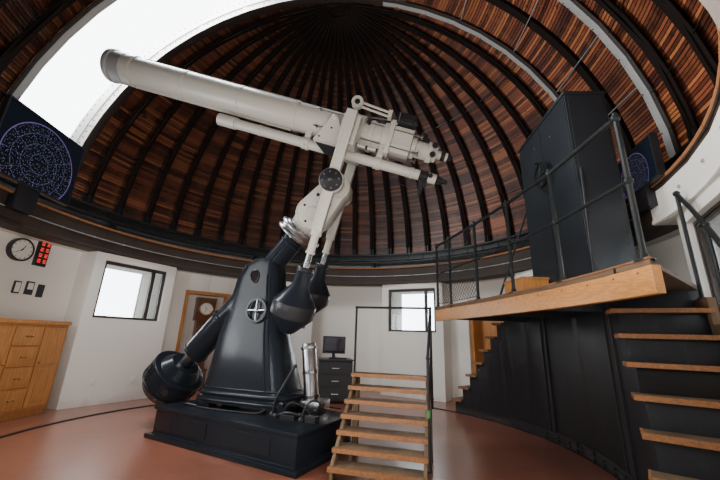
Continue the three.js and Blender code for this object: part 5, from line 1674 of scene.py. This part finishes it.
class OBSERVATORY_OT_pier(bpy.types.Operator):
    """Enamels the pier and adds its mouldings, hand holes, bolts, levers, scales and cables"""
    bl_idname = "observatory.pier"
    bl_label = "Pier and polar axis"

    def execute(self, context):
        dress(["pier"], "casting", 32)
        dress(["pier_base"], "casting", 32, 0.010)
        dress(["polar_drum"], "casting", 32, 0.006)
        dress(["steel_column", "polar_shaft"], "steel", 32, 0.003)
        self.mouldings()
        self.polar_fittings()
        self.levers()
        return {"FINISHED"}

    def mouldings(self):
        parts = Maker(MOUNTING)
        for z, radius in ((0.722, 0.020), (0.800, 0.030), (0.862, 0.012)):
            parts.pipe(pier_outline(z, -0.004), radius, 12, closed=True)
        for side in (-1, 1):
            for share, radius in ((0.60, 0.014), (0.72, 0.008)):
                line = []
                for k in range(36):
                    z = 0.87 + 1.42 * k / 35
                    middle, length, _ = pier_section(z)
                    line.append(pier_face(middle + length * share, z, -0.002, side))
                parts.pipe(line, radius, 8)
            self.hand_hole(parts, side, 0.0)
        # Painted shade: dark sheets inside the rims stand in for the shade within the hand hole and the
        # slot.
        parts.paint = 1
        for side in (-1, 1):
            self.hand_hole(parts, side, 0.002)
        parts.paint = 2
        for sx in (-1, 1):
            for sy in (-1, 1):
                parts.nut((PIER_MIDDLE + 0.05 + sx * 0.575, sy * 0.262, BASE_BLOCK_TOP + 0.120), (0, 0, 1),
                          0.020)
        parts.piece("pier_mouldings", "building", "black_gloss", ["casting", "rib", "steel"])
        lip = Maker(PIER_BASE)
        for z in (0.352, 0.612):
            path = []
            for cx, cy, start in ((1, 1, 0), (-1, 1, 90), (-1, -1, 180), (1, -1, 270)):
                for k in range(6):
                    a = math.radians(start + 18 * k)
                    path.append((cx * 1.045 + 0.020 * math.cos(a), cy * 0.505 + 0.020 * math.sin(a), z))
            lip.pipe(path, 0.009, 8, closed=True)
        for x in spread(-1.0, 1.0, 7):
            for y, out in ((-0.520, -1), (0.520, 1)):
                lip.head((x, y, 0.585), (0, out, 0), 0.010, 8)
        lip.box((-0.75, -0.528, 0.40), (-0.15, -0.519, 0.56))
        lip.box((0.05, -0.528, 0.40), (0.75, -0.519, 0.56))
        lip.piece("base_edges", "building", "black_paint", ["casting"], 0.002)

    def hand_hole(self, parts, side, out):
        """The tear-shaped hand hole and the slanting slot: their rims, or with out a dark sheet inside each
        rim, painted shade in place of a hollow.
        """
        for x, z, wide, tall, lean in ((-1.085, 2.265, 0.062, 0.085, 0.30),
                                       (-1.300, 2.400, 0.052, 0.022, 0.55)):
            rim = []
            for c, s in circle(36):
                across = wide * c * (1 + 0.30 * s)
                up = tall * s
                spot_x = x + across * math.cos(lean) - up * math.sin(lean)
                rim.append(pier_face(spot_x, z + across * math.sin(lean) + up * math.cos(lean), 0.001 + out,
                                     side))
            if out:
                parts.add(rim, [tuple(range(36))])
            else:
                parts.pipe(rim, 0.012, 8, closed=True)

    def polar_fittings(self):
        scale = Maker(HOUR)
        low = -0.890
        for k in range(144):
            long = 0.030 if k % 6 == 0 else 0.016
            scale.box((0.3140, -0.0012, low + 0.004), (0.3158, 0.0012, low + 0.004 + long), turn(2.5 * k))
        scale.paint = 1
        for k in range(120):
            scale.box((0.284, -0.0035, low + 0.045), (0.291, 0.0035, low + 0.085), turn(3 * k))
        scale.turned([(0.200, low + 0.128), (0.262, low + 0.130), (0.262, low + 0.146),
                      (0.200, low + 0.150)], 48)
        for c, s in circle(12):
            scale.nut((0.240 * c, 0.240 * s, low + 0.146), (0, 0, 1), 0.012)
        scale.piece("hour_circle_scale", "polar_axis_body", "steel", ["black", "steel"])
        head = Maker(HOUR)
        for side in (-1, 1):
            place = shift(0, side * 0.250, 0) @ turn(-90 * side, "X")
            head.turned([(0.100, 0.0), (0.158, 0.0), (0.158, 0.012), (0.150, 0.020), (0.100, 0.020)], 40,
                        place)
            for c, s in circle(10):
                head.nut((0.130 * c, side * 0.270, 0.130 * s), (0, side, 0), 0.010)
            for radius, cx, cz, start, end in ((0.212, 0, -0.470, 170, 370), (0.172, 0, 0, -30, 210)):
                bend = [math.radians(a) for a in spread(start, end, 25)]
                path = [(cx + radius * math.cos(a), side * 0.250, cz + radius * math.sin(a)) for a in bend]
                head.pipe(path, 0.010, 8)
            head.turned([(0, 0.018), (0.085, 0.016), (0.095, 0.0)], 32,
                        shift(0, side * 0.250, -0.470) @ turn(-90 * side, "X"))
            for c, s in circle(6):
                head.head((0.065 * c, side * 0.266, -0.470 + 0.065 * s), (0, side, 0), 0.010, 8)
        head.paint = 1
        for side in (-1, 1):
            for x, z, radius in ((-0.105, -0.235, 0.024), (0.105, -0.235, 0.024), (-0.150, -0.455, 0.018),
                                 (0.150, -0.455, 0.018), (0, -0.610, 0.018)):
                head.head((x, side * 0.2505, z), (0, side, 0), radius, 12)
            low, high = sorted((side * 0.2495, side * 0.2530))
            head.box((-0.012, low, -0.350), (0.012, high, -0.240))
        head.piece("polar_head_fittings", "polar_axis_body", "ivory", ["ivory", "black"], 0.001)
        drum = Maker(HOUR)
        low = -3.590
        for z in (low - 0.045, low + 0.195):
            drum.turned([(0.359, z - 0.014), (0.372, z - 0.008), (0.372, z + 0.008), (0.359, z + 0.014)], 56)
        for k, (c, s) in enumerate(circle(10)):
            drum.nut((0.250 * c, 0.250 * s, low - 0.170), (0, 0, -1), 0.016)
            drum.box((0.355, -0.012, low - 0.030), (0.368, 0.012, low + 0.180), turn(36 * k + 18))
        drum.paint = 1
        for k in range(5):
            place = turn(72 * k) @ shift(0.3605, 0, low + 0.075) @ ALONG_X
            drum.turned([(0, 0.001), (0.052, 0.001)], 28, place)
        drum.paint = 0
        for k in range(5):
            place = turn(72 * k) @ shift(0.3600, 0, low + 0.075) @ ALONG_X
            drum.turned([(0.050, 0.0), (0.064, 0.0), (0.064, 0.006), (0.058, 0.010), (0.050, 0.006)], 28,
                        place, closed=True)
        drum.piece("clock_drum_fittings", "polar_axis_body", "black_gloss", ["casting", "rubber"])
        housing = Maker(POLAR)
        for z, inner, outer in ((-3.04, 0.169, 0.180), (-2.44, 0.169, 0.180), (-1.00, 0.149, 0.162),
                                (-0.94, 0.149, 0.162)):
            housing.turned([(inner, z - 0.016), (outer, z - 0.010), (outer, z + 0.010), (inner, z + 0.016)],
                           40)
        for c, s in circle(12, 15):
            housing.nut((0.158 * c, 0.158 * s, -0.925), (0, 0, 1), 0.008)
        housing.piece("bearing_collars", "building", "black_gloss", ["casting"])

    def levers(self):
        top = BASE_BLOCK_TOP
        column = Maker(MOUNTING)
        for z, radius in ((top + 0.16, 0.100), (top + 0.44, 0.097), (top + 0.73, 0.104)):
            t = (z - (top - 0.06)) / 0.84
            x = -0.210 - 0.120 * t
            column.turned([(radius - 0.015, -0.022), (radius, -0.016), (radius, 0.016),
                           (radius - 0.015, 0.022)], 40, shift(x, 0.100, z) @ turn(-8, "Y"))
        for x in (-0.295, -0.085):
            for y in (-0.035, 0.235):
                column.nut((x, y, top + 0.130), (0, 0, 1), 0.014)
        column.piece("column_rings", "building", "steel", ["steel"])
        levers = Maker(MOUNTING)
        for path, radius in (
                ([(-0.50, -0.33, top + 0.02), (-0.46, -0.34, top + 0.18), (-0.38, -0.30, top + 0.36),
                  (-0.33, -0.20, top + 0.52)], 0.015),
                ([(-0.42, -0.38, top + 0.015), (-0.28, -0.40, top + 0.06), (-0.12, -0.38, top + 0.05),
                  (0.02, -0.34, top + 0.02)], 0.014),
                ([(-0.40, -0.30, top + 0.02), (-0.30, -0.30, top + 0.14), (-0.18, -0.26, top + 0.12),
                  (-0.08, -0.20, top + 0.02)], 0.012),
                ([(-0.08, -0.42, top + 0.01), (-0.05, -0.40, top + 0.14), (0.02, -0.36, top + 0.20),
                  (0.10, -0.30, top + 0.17)], 0.011),
                ([(-1.55, -0.36, top + 0.012), (-1.72, -0.38, top + 0.02), (-1.80, -0.30, top - 0.06),
                  (-1.84, -0.20, top - 0.20)], 0.012)):
            levers.pipe(curve(path, 20), radius, 10)
        for x, y, z in ((-0.33, -0.20, 0.52), (0.10, -0.30, 0.17), (-0.12, -0.38, 0.05)):
            levers.ball((x, y, top + z), 0.024, 8, 14)
        for x, y in ((-0.50, -0.33), (-0.40, -0.30), (-0.08, -0.42), (-0.42, -0.38)):
            levers.turned([(0.0, 0.0), (0.036, 0.0), (0.036, 0.022), (0.020, 0.040), (0.0, 0.040)], 20,
                          shift(x, y, top))
        levers.box((-0.34, -0.44, top), (-0.16, -0.30, top + 0.045))
        levers.box((-0.02, -0.46, top), (0.10, -0.36, top + 0.060))
        levers.piece("clamp_levers", "building", "black_paint", ["black"], 0.002)
        cables = Maker(MOUNTING)
        for path, radius in (
                ([(-0.64, 0.30, top + 0.30), (-0.56, 0.36, top + 0.12), (-0.44, 0.40, top + 0.02),
                  (-0.20, 0.41, top + 0.008),
                  (0.05, 0.36, top + 0.008)], 0.008),
                ([(-0.60, -0.29, top + 0.08), (-0.66, -0.37, top + 0.015), (-0.95, -0.41, top + 0.010),
                  (-1.30, -0.42, top + 0.010), (-1.52, -0.40, top + 0.010)], 0.008)):
            cables.pipe(curve(path, 28), radius, 8)
        cables.piece("pier_leads", "building", "black_paint", ["rubber"])
        wheel = Maker(MOUNTING @ shift(PIER_MIDDLE + 0.090, -0.204, BASE_BLOCK_TOP + 1.170) @ SIDE_ON)
        wheel.turned([(0.128, -0.014), (0.160, -0.014), (0.162, 0.0), (0.160, 0.014), (0.128, 0.014),
                      (0.124, 0.0)], 48, closed=True)
        wheel.paint = 1
        for c, s in circle(4):
            wheel.bar((0.030 * c, 0.030 * s, 0.0), (0.130 * c, 0.130 * s, 0.0), 0.0135, 12)
        wheel.turned([(0.034, -0.02), (0.036, 0.012), (0.026, 0.020), (0, 0.022)], 24)
        wheel.piece("pier_handwheel", "building", "black_gloss", ["black", "steel"])


# Stairs, platform and furniture

def treads_of(side):
    """The level and the outer end of each curved step, in metres and degrees."""
    end = BASE_FROM if side < 0 else BASE_TO
    for step in range(1, STEPS_CURVED + 1):
        far = end + side * (step * STEP_ANGLE + 0.7)
        yield DECK - step * CURVED_RISE, far, end + side * ((step - 1) * STEP_ANGLE)


def edge_x(y):
    for (x0, y0), (x1, y1) in zip(DECK_EDGE, DECK_EDGE[1:]):
        if y >= y1:
            return x0 + (x1 - x0) * (y - y0) / (y1 - y0)


CLADDING_SLOTS = ((10.5, 0.80), (-16.4, 1.60))
POST_LINES = (1.450, 1.000, 0.250, -0.520, -1.300, -2.180)


class OBSERVATORY_OT_platform(bpy.types.Operator):
    """Dresses the observing stair: cladding, slots, nosings, deck boards, tower panels, railing and net"""
    bl_idname = "observatory.platform"
    bl_label = "Observing stair"

    def execute(self, context):
        dress(["stair_base"], "cladding", 28, 0.004)
        dress(["lift_tower"], "tower_blue", 32, 0.006)
        dress(["platform_deck"], "deck", 28, 0.004)
        dress(["platform_beam"], "beam_pine", 28, 0.005)
        dress(["right_flight", "left_flight"], "treads", 28, 0.004)
        dress(["platform_railing", "flight_handrail"], "dark_steel", 40)
        self.cladding()
        self.nosings(context)
        self.tower()
        self.railing()
        self.net(context)
        return {"FINISHED"}

    def cladding(self):
        parts = Maker()
        for angle, half in CLADDING_SLOTS:
            for edge in (-half, half):
                outline = sector(BASE_INNER - 0.024, BASE_INNER + 0.001, angle + edge - 0.22,
                                 angle + edge + 0.22, 1)
                parts.prism(outline, 0.44, 1.93)
        parts.prism(sector(BASE_INNER - 0.012, BASE_INNER + 0.001, BASE_FROM, BASE_TO, 24), 0.330, 0.430)
        parts.prism(sector(BASE_INNER - 0.010, BASE_INNER + 0.001, BASE_FROM, BASE_TO, 24), 1.935, 2.005)
        for angle in spread(BASE_FROM + 0.8, BASE_TO - 0.8, 28):
            for z in (0.38, 1.97):
                parts.head(polar(BASE_INNER - 0.012, angle, z), polar(-1, angle, 0), 0.011, 8)
        parts.paint = 1
        for angle, half in CLADDING_SLOTS:
            parts.prism(sector(BASE_INNER - 0.004, BASE_INNER + 0.001, angle - half, angle + half, 4), 0.44,
                        1.93)
        parts.piece("stair_slots", "observing_stair", "black_paint", ["black", "rubber"], 0.0015)
        foot = Maker()
        foot.pipe([polar(BASE_INNER - 0.020, angle, 0.372) for angle in spread(BASE_FROM + 1, 14.0, 30)],
                  0.010, 8)
        for angle in spread(BASE_FROM + 2, 13.0, 9):
            foot.box((BASE_INNER - 0.030, -0.016, 0.330), (BASE_INNER + 0.001, 0.016, 0.400), turn(angle))
            foot.nut(polar(BASE_INNER - 0.029, angle, 0.375), polar(-1, angle, 0), 0.010)
        for angle in (-2.0, 3.5):
            foot.box((BASE_INNER - 0.034, -0.060, 0.330), (BASE_INNER + 0.001, 0.060, 0.425), turn(angle))
        foot.piece("stair_foot_pipe", "observing_stair", "black_paint", ["black"], 0.001)

    def nosings(self, context):
        high = context.scene.observatory_sizes.tread_edge
        for side, name in ((-1, "right"), (1, "left")):
            made = Maker()
            for level, far, near in treads_of(side):
                inner_end = far - side * 0.55
                low, top = sorted((inner_end, far + side * 0.10))
                made.prism(sector(BASE_INNER - 0.058, BASE_OUTER - 0.022, low, top, 2), level - high - 0.004,
                           level + 0.003)
                low, top = sorted((near + side * 0.02, inner_end))
                made.prism(sector(BASE_INNER - 0.058, BASE_INNER - 0.040, low, top, 4), level - high - 0.004,
                           level + 0.003)
            made.paint = 1
            for level, far, near in treads_of(side):
                for radius in spread(BASE_INNER + 0.05, BASE_OUTER - 0.1, 4):
                    made.head(polar(radius, far - side * 0.20, level + 0.003), (0, 0, 1), 0.006, 6)
            made.piece(f"tread_nosings_{name}", "observing_stair", "stair_timber", ["nosing", "black"],
                       0.003)
        kick = Maker()
        kick.prism([(x - 0.006, y) for x, y in DECK_EDGE] + [(x + 0.020, y) for x, y in DECK_EDGE[::-1]],
                   DECK - 0.002, DECK + 0.012)
        for (x0, y0), (x1, y1) in zip(DECK_EDGE, DECK_EDGE[1:]):
            along = Vector((x1 - x0, y1 - y0, 0))
            out = Vector((-along.y, along.x, 0)).normalized()
            facing = out if out.x < 0 else -out
            count = max(2, int(along.length / 0.35))
            for k in range(count):
                kick.head(Vector((x0, y0, DECK - 0.075)) + along * ((k + 0.5) / count), facing, 0.010, 8)
        kick.piece("deck_edge_strip", "observing_stair", "stair_timber", ["nosing"], 0.002)

    def tower(self):
        parts = Maker()
        face = 3.080
        top = DECK + 2.350
        for y0, y1 in ((-0.915, -0.300), (-0.280, 0.365)):
            parts.box((face - 0.008, y0, DECK + 0.060), (face + 0.001, y1, top - 0.030))
            for z in spread(DECK + 0.10, top - 0.07, 18):
                for y in (y0 + 0.030, y1 - 0.030):
                    parts.head((face - 0.008, y, z), (-1, 0, 0), 0.009, 8)
            for y in spread(y0 + 0.08, y1 - 0.08, 5):
                for z in (DECK + 0.10, top - 0.07, DECK + 1.20):
                    parts.head((face - 0.008, y, z), (-1, 0, 0), 0.009, 8)
        for y, out in ((-0.930, -1), (0.380, 1)):
            low, high = sorted((y, y + out * 0.008))
            parts.box((face + 0.030, low, DECK + 0.060), (face + 0.430, high, top - 0.030))
            for z in spread(DECK + 0.10, top - 0.07, 18):
                for x in (face + 0.055, face + 0.405):
                    parts.head((x, y + out * 0.008, z), (0, out, 0), 0.009, 8)
        parts.box((face - 0.030, -0.42, DECK + 1.46), (face - 0.004, -0.24, DECK + 1.70))
        parts.bar((face - 0.078, -0.330, DECK + 1.580), (face - 0.010, -0.330, DECK + 1.580), 0.034, 24)
        parts.paint = 2
        for y, z in ((-0.52, DECK + 2.02), (-0.10, DECK + 2.10)):
            parts.head((face - 0.008, y, z), (-1, 0, 0), 0.016, 12)
        parts.paint = 1
        place = shift(face - 0.080, -0.330, DECK + 1.580) @ turn(-90, "Y")
        parts.turned([(0.148, -0.013), (0.177, -0.013), (0.179, 0.0), (0.177, 0.013), (0.148, 0.013),
                      (0.145, 0.0)], 48, place, closed=True)
        parts.turned([(0, 0.050), (0.014, 0.050), (0.018, 0.0), (0, 0.0)], 16,
                     place @ shift(0.162, 0, 0.010))
        parts.turned([(0.032, -0.01), (0.034, 0.012), (0.022, 0.030), (0, 0.032)], 24, place)
        parts.piece("tower_panels", "observing_stair", "black_paint",
                    ["tower_blue", "dark_steel", "steel"], 0.0015)
        struts = Maker()
        struts.bar((3.060, 0.340, DECK + 0.05), (2.560, 0.620, DECK + 0.020), 0.014, 10)
        struts.bar((face + 0.05, 0.392, DECK + 1.45), (2.720, 0.860, DECK + 0.010), 0.016, 10)
        struts.bar((face + 0.05, -0.942, DECK + 1.35), (2.860, -1.300, DECK + 0.010), 0.016, 10)
        for spot in ((2.720, 0.860, DECK), (2.860, -1.300, DECK), (2.560, 0.620, DECK)):
            struts.turned([(0.040, 0.0), (0.040, 0.008), (0.0, 0.008)], 20, shift(*spot))
        struts.piece("tower_struts", "observing_stair", "black_paint", ["black"])
        box = Maker(shift(2.86, 0.13, DECK) @ turn(6))
        box.box((-0.17, -0.24, 0.018), (0.17, 0.24, 0.250))
        box.box((-0.18, -0.25, 0.250), (0.18, 0.25, 0.272))
        box.box((-0.18, -0.25, 0.0005), (0.18, 0.25, 0.024))
        for y in (-0.20, 0.20):
            box.box((-0.178, y - 0.022, 0.024), (-0.168, y + 0.022, 0.250))
        box.piece("platform_box", "observing_stair", "pine", ["pine"], 0.003)

    def railing(self):
        parts = Maker()
        for y in POST_LINES:
            x = edge_x(y) + 0.034
            parts.ball((x, y, DECK + RAIL_HEIGHT), 0.034, 8, 16)
            parts.ball((x, y, DECK + 0.570), 0.031, 8, 16)
            parts.ball((x, y, DECK + RAIL_HEIGHT + 0.036), 0.020, 6, 12)
            parts.turned([(0, 0.0005), (0.058, 0.0005), (0.058, 0.010), (0.030, 0.018), (0.024, 0.050),
                          (0, 0.050)], 24, shift(x, y, DECK))
            for c, s in circle(4, 45):
                parts.head((x + 0.045 * c, y + 0.045 * s, DECK + 0.010), (0, 0, 1), 0.007, 6)
        parts.piece("railing_joints", "observing_stair", "dark_steel", ["dark_steel"])
        pipes = Maker()
        base = 3.913
        for step in (1, 3, 5, 7):
            angle = BASE_FROM - (step - 0.5) * STEP_ANGLE
            height = DECK + 0.950 + (angle - BASE_FROM) * CURVED_RISE / STEP_ANGLE
            pipes.ball(polar(base, angle, height), 0.028, 8, 14)
            foot = DECK - step * CURVED_RISE + 0.0903
            pipes.turned([(0.034, 0.0), (0.034, 0.010), (0.018, 0.016)], 20,
                         Matrix.Translation(polar(base, angle, foot)))
        pipes.piece("handrail_joints", "observing_stair", "dark_steel", ["dark_steel"])

    def net(self, context):
        mesh = context.scene.observatory_sizes.net_mesh
        made = Maker()
        spots = [Vector((edge_x(y) + 0.034, y, 0)) for y in POST_LINES[:3]]
        lengths = [(b - a).length for a, b in zip(spots, spots[1:])]
        whole = sum(lengths)
        low, high = DECK + 0.06, DECK + RAIL_HEIGHT - 0.02

        def on_net(u, z):
            if u <= lengths[0]:
                spot = spots[0].lerp(spots[1], u / lengths[0])
            else:
                spot = spots[1].lerp(spots[2], min(1.0, (u - lengths[0]) / lengths[1]))
            sag = 0.035 * math.sin(math.pi * (z - low) / (high - low)) * math.sin(math.pi * u / whole)
            return Vector((spot.x - sag, spot.y, z))

        tall = high - low
        for direction in (1, -1):
            start = -tall
            while start < whole:
                path = []
                for k in range(25):
                    t = k / 24
                    u = start + t * tall
                    z = low + t * tall if direction > 0 else high - t * tall
                    if 0 <= u <= whole:
                        path.append(on_net(u, z))
                if len(path) > 1:
                    made.pipe(path, 0.0028, 5)
                start += mesh
        for z in (low, high):
            made.pipe([on_net(whole * k / 24, z) for k in range(25)], 0.005, 6)
        made.piece("platform_net", "observing_stair", "dark_steel", ["rubber"])


class OBSERVATORY_OT_furniture(bpy.types.Operator):
    """Dresses the small steps, the desk with its computer, and the two screens"""
    bl_idname = "observatory.furniture"
    bl_label = "Steps, desk and screens"

    def execute(self, context):
        dress(["small_steps"], "steps", 32, 0.003)
        dress(["instrument_cabinet"], "black", 30, 0.006)
        dress(["display_left", "display_right"], "black", 30, 0.004)
        self.small_steps(context)
        self.desk()
        self.screens()
        return {"FINISHED"}

    def small_steps(self, context):
        high = context.scene.observatory_sizes.tread_edge
        made = Maker(STEPS)
        for i in range(7):
            z = 0.830 * (i + 1) / 7 + 0.0003
            x = 0.690 * i / 6
            made.box((x - 0.036, -0.432, z - high - 0.006), (x + 0.002, 0.432, z + 0.003))
        made.paint = 1
        for i in range(7):
            z = 0.830 * (i + 1) / 7 + 0.0033
            x = 0.690 * i / 6
            for y in (-0.405, -0.375, 0.375, 0.405):
                made.head((x + 0.06, y, z - 0.003), (0, 0, 1), 0.006, 6)
            for y, out in ((-0.4305, -1), (0.4305, 1)):
                made.head((x + 0.09, y, z - 0.020), (0, out, 0), 0.007, 6)
        made.paint = 2
        made.bar((0.060, -0.442, 0.560), (0.060, -0.442, 0.620), 0.0165, 12)
        made.paint = 1
        for x, z in ((0.060, 0.160), (0.840, 0.600), (0.060, 1.050), (0.840, 1.570)):
            made.ball((x, -0.442, z), 0.019, 6, 12)
        for x, z in ((0.840, 1.570), (0.840, 0.600)):
            made.ball((x, 0.442, z), 0.019, 6, 12)
        made.bar((0.060, -0.442, 0.600), (0.840, -0.442, 1.120), 0.011, 10)
        made.piece("small_step_edges", "building", "stair_timber", ["nosing", "dark_steel", "tape"], 0.002)

    def desk(self):
        made = Maker(DESK)
        made.box((-0.345, -0.315, 0.772), (0.345, 0.315, 0.800))
        made.box((-0.326, -0.306, 0.05), (0.326, -0.2995, 0.745))
        for z0, z1 in ((0.07, 0.28), (0.30, 0.51), (0.53, 0.74)):
            made.box((-0.310, -0.312, z0), (0.310, -0.305, z1))
            made.box((0.3295, -0.28, z0), (0.336, 0.28, z1))
        made.paint = 1
        for z in (0.175, 0.405, 0.635):
            made.pipe(curve([(-0.06, -0.312, z), (-0.055, -0.335, z), (0.055, -0.335, z), (0.06, -0.312, z)],
                            12), 0.006, 8)
        for y in (-0.14, 0.14):
            made.pipe(curve([(0.336, y - 0.05, 0.635), (0.356, y - 0.045, 0.635), (0.356, y + 0.045, 0.635),
                             (0.336, y + 0.05, 0.635)], 12), 0.007, 8)
        made.paint = 2
        made.box((-0.262, -0.040, 0.895), (0.202, -0.028, 1.232))
        made.box((-0.13, -0.24, 0.800), (0.22, -0.10, 0.822))
        made.paint = 3
        made.box((-0.240, -0.043, 0.925), (0.180, -0.039, 1.205))
        made.paint = 2
        for row in range(4):
            for column in range(13):
                x = -0.122 + column * 0.026
                y = -0.232 + row * 0.032
                made.box((x, y, 0.822), (x + 0.021, y + 0.025, 0.828))
        made.paint = 4
        made.pipe(curve([(-0.03, 0.02, 0.93), (-0.03, 0.10, 0.88), (0.00, 0.22, 0.812), (0.06, 0.31, 0.806),
                         (0.10, 0.325, 0.60), (0.10, 0.325, 0.20)], 30), 0.006, 8)
        made.piece("desk_fittings", "building", "black_paint",
                   ["desk_grey", "dial", "black", "lens", "rubber"], 0.002)

    def screens(self):
        for name, angle, width, height, low in (("left", 186, 1.300, 1.000, BEAM_TOP + 0.100),
                                                ("right", -11, 0.860, 0.500, BEAM_TOP - 0.020)):
            face = math.sqrt(3.988 ** 2 - (width / 2) ** 2) - 0.060
            place = turn(angle) @ shift(face, 0, low + height / 2)
            glass = screen_glass(place, width, height, f"screen_pattern_{name}")
            made = Maker(place)
            half, tall = width / 2, height / 2
            edge = 0.022
            made.surround(-0.010, 0.001, -half, half, -tall, tall, edge)
            made.box((0.058, -0.30, -0.20), (0.075, 0.30, 0.20))
            made.paint = 1
            made.box((-0.004, -half + edge, -tall + edge), (0.0005, half - edge, tall - edge))
            made.piece(f"screen_front_{name}", "building", "screen", ["black", glass], 0.001)


# Stage, panel and order of work

class OBSERVATORY_OT_stage(bpy.types.Operator):
    """Sets the camera, the pale ground, the sky and the soft lights"""
    bl_idname = "observatory.stage"
    bl_label = "Stage"

    def execute(self, context):
        self.camera(context.scene)
        self.ground()
        self.sky(context.scene)
        self.lights()
        return {"FINISHED"}

    def camera(self, scene):
        eye = Vector((0.91, -4.41, 1.50))
        yaw, pitch, roll = (math.radians(a) for a in (-3.32, 16.33, 2.06))
        ahead = Vector((math.sin(yaw) * math.cos(pitch), math.cos(yaw) * math.cos(pitch), math.sin(pitch)))
        level = Vector((math.cos(yaw), -math.sin(yaw), 0))
        up = level.cross(ahead)
        right = level * math.cos(roll) + up * math.sin(roll)
        above = up * math.cos(roll) - level * math.sin(roll)
        data = bpy.data.cameras.new("camera")
        data.lens = 16.86
        data.sensor_width = 36.0
        data.clip_start = 1.30
        data.clip_end = 200.0
        camera = bpy.data.objects.new("camera", data)
        camera.matrix_world = Matrix([(*row, at) for row,
                                      at in zip(zip(right, above, -ahead), eye)] + [(0, 0, 0, 1)])
        scene.collection.objects.link(camera)
        scene.camera = camera

    def ground(self):
        mesh = bpy.data.meshes.new("ground")
        mesh.from_pydata([(-60, -60, -0.002), (60, -60, -0.002), (60, 60, -0.002), (-60, 60, -0.002)], [],
                         [(0, 1, 2, 3)])
        f = Finish("pale_ground", Roughness=0.8)
        mottle = f.noise(0.7, 4.0)
        mesh.materials.append(f.end(f.mix(mottle, (0.62, 0.62, 0.61), (0.70, 0.70, 0.69)),
                                    0.75 + mottle * 0.15))
        ground = bpy.data.objects.new("ground", mesh)
        bpy.context.scene.collection.objects.link(ground)

    def sky(self, scene):
        world = bpy.data.worlds.new("soft_sky")
        world.use_nodes = True
        nodes, links = world.node_tree.nodes, world.node_tree.links
        background = nodes["Background"]
        background.inputs["Color"].default_value = (0.93, 0.96, 1.0, 1.0)
        path = nodes.new("ShaderNodeLightPath")
        seen = nodes.new("ShaderNodeMath")
        seen.operation = "MAXIMUM"
        links.new(path.outputs["Is Camera Ray"], seen.inputs[0])
        links.new(path.outputs["Is Transmission Ray"], seen.inputs[1])
        strength = nodes.new("ShaderNodeMapRange")
        strength.inputs["To Min"].default_value = 2.2
        strength.inputs["To Max"].default_value = 9.0
        links.new(seen.outputs[0], strength.inputs["Value"])
        links.new(strength.outputs[0], background.inputs["Strength"])
        scene.world = world

    def lights(self):
        for name, place, target, size, power, colour in (
                ("fill_near", (0.9, -3.3, 2.6), (0.4, 2.0, 2.2), (2.6, 0.9), 78, (1.0, 0.96, 0.90)),
                ("fill_up", (-0.2, -2.6, 1.0), (0.4, 1.2, 7.0), (3.0, 2.0), 105, (1.0, 0.93, 0.84)),
                ("slit_glow", (-3.4, 0.0, 7.2), (0.2, 0.0, 1.2), (1.1, 4.2), 420, (0.93, 0.97, 1.0)),
                ("side_fill", (-3.2, -1.8, 2.6), (1.0, 0.6, 2.4), (1.6, 1.6), 55, (0.96, 0.98, 1.0)),
                ("right_wall", (2.1, -2.0, 3.9), (3.9, -1.9, 2.4), (1.2, 1.2), 30, (1.0, 0.98, 0.95))):
            data = bpy.data.lights.new(name, "AREA")
            data.shape = "RECTANGLE"
            data.size, data.size_y = size
            data.energy = power
            data.color = colour
            light = bpy.data.objects.new(name, data)
            aim = (Vector(target) - Vector(place)).to_track_quat("-Z", "Y")
            light.matrix_world = Matrix.Translation(Vector(place)) @ aim.to_matrix().to_4x4()
            light.visible_camera = False
            light.visible_glossy = name in ("slit_glow", "side_fill")
            bpy.context.scene.collection.objects.link(light)


STEPS_OF_WORK = ("stage", "walls", "windows", "joinery", "lining", "hoops", "arches", "girder", "shutters",
                 "zinc", "telescope", "pier", "platform", "furniture")


class OBSERVATORY_PT_panel(bpy.types.Panel):
    """Lists the sizes, the colours and the groups of pieces"""
    bl_label = "Observatory Dome"
    bl_idname = "OBSERVATORY_PT_panel"
    bl_space_type = "VIEW_3D"
    bl_region_type = "UI"
    bl_category = "Observatory"

    def draw(self, context):
        for settings in (context.scene.observatory_sizes, context.scene.observatory_colours):
            column = self.layout.column(align=True)
            for name in settings.__annotations__:
                column.prop(settings, name)
        column = self.layout.column(align=True)
        for step in STEPS_OF_WORK:
            column.operator(f"observatory.{step}")


CLASSES = (ObservatorySizes, ObservatoryColours, OBSERVATORY_OT_stage, OBSERVATORY_OT_walls,
           OBSERVATORY_OT_windows,
           OBSERVATORY_OT_joinery, OBSERVATORY_OT_lining, OBSERVATORY_OT_hoops, OBSERVATORY_OT_arches,
           OBSERVATORY_OT_girder, OBSERVATORY_OT_shutters, OBSERVATORY_OT_zinc, OBSERVATORY_OT_telescope,
           OBSERVATORY_OT_pier, OBSERVATORY_OT_platform, OBSERVATORY_OT_furniture, OBSERVATORY_PT_panel)


def register():
    for one in CLASSES:
        bpy.utils.register_class(one)
    bpy.types.Scene.observatory_sizes = bpy.props.PointerProperty(type=ObservatorySizes)
    bpy.types.Scene.observatory_colours = bpy.props.PointerProperty(type=ObservatoryColours)


def unregister():
    del bpy.types.Scene.observatory_colours
    del bpy.types.Scene.observatory_sizes
    for one in reversed(CLASSES):
        bpy.utils.unregister_class(one)


def main():
    register()
    for step in STEPS_OF_WORK:
        getattr(bpy.ops.observatory, step)()
    bpy.context.view_layer.update()


if __name__ == "__main__":
    main()
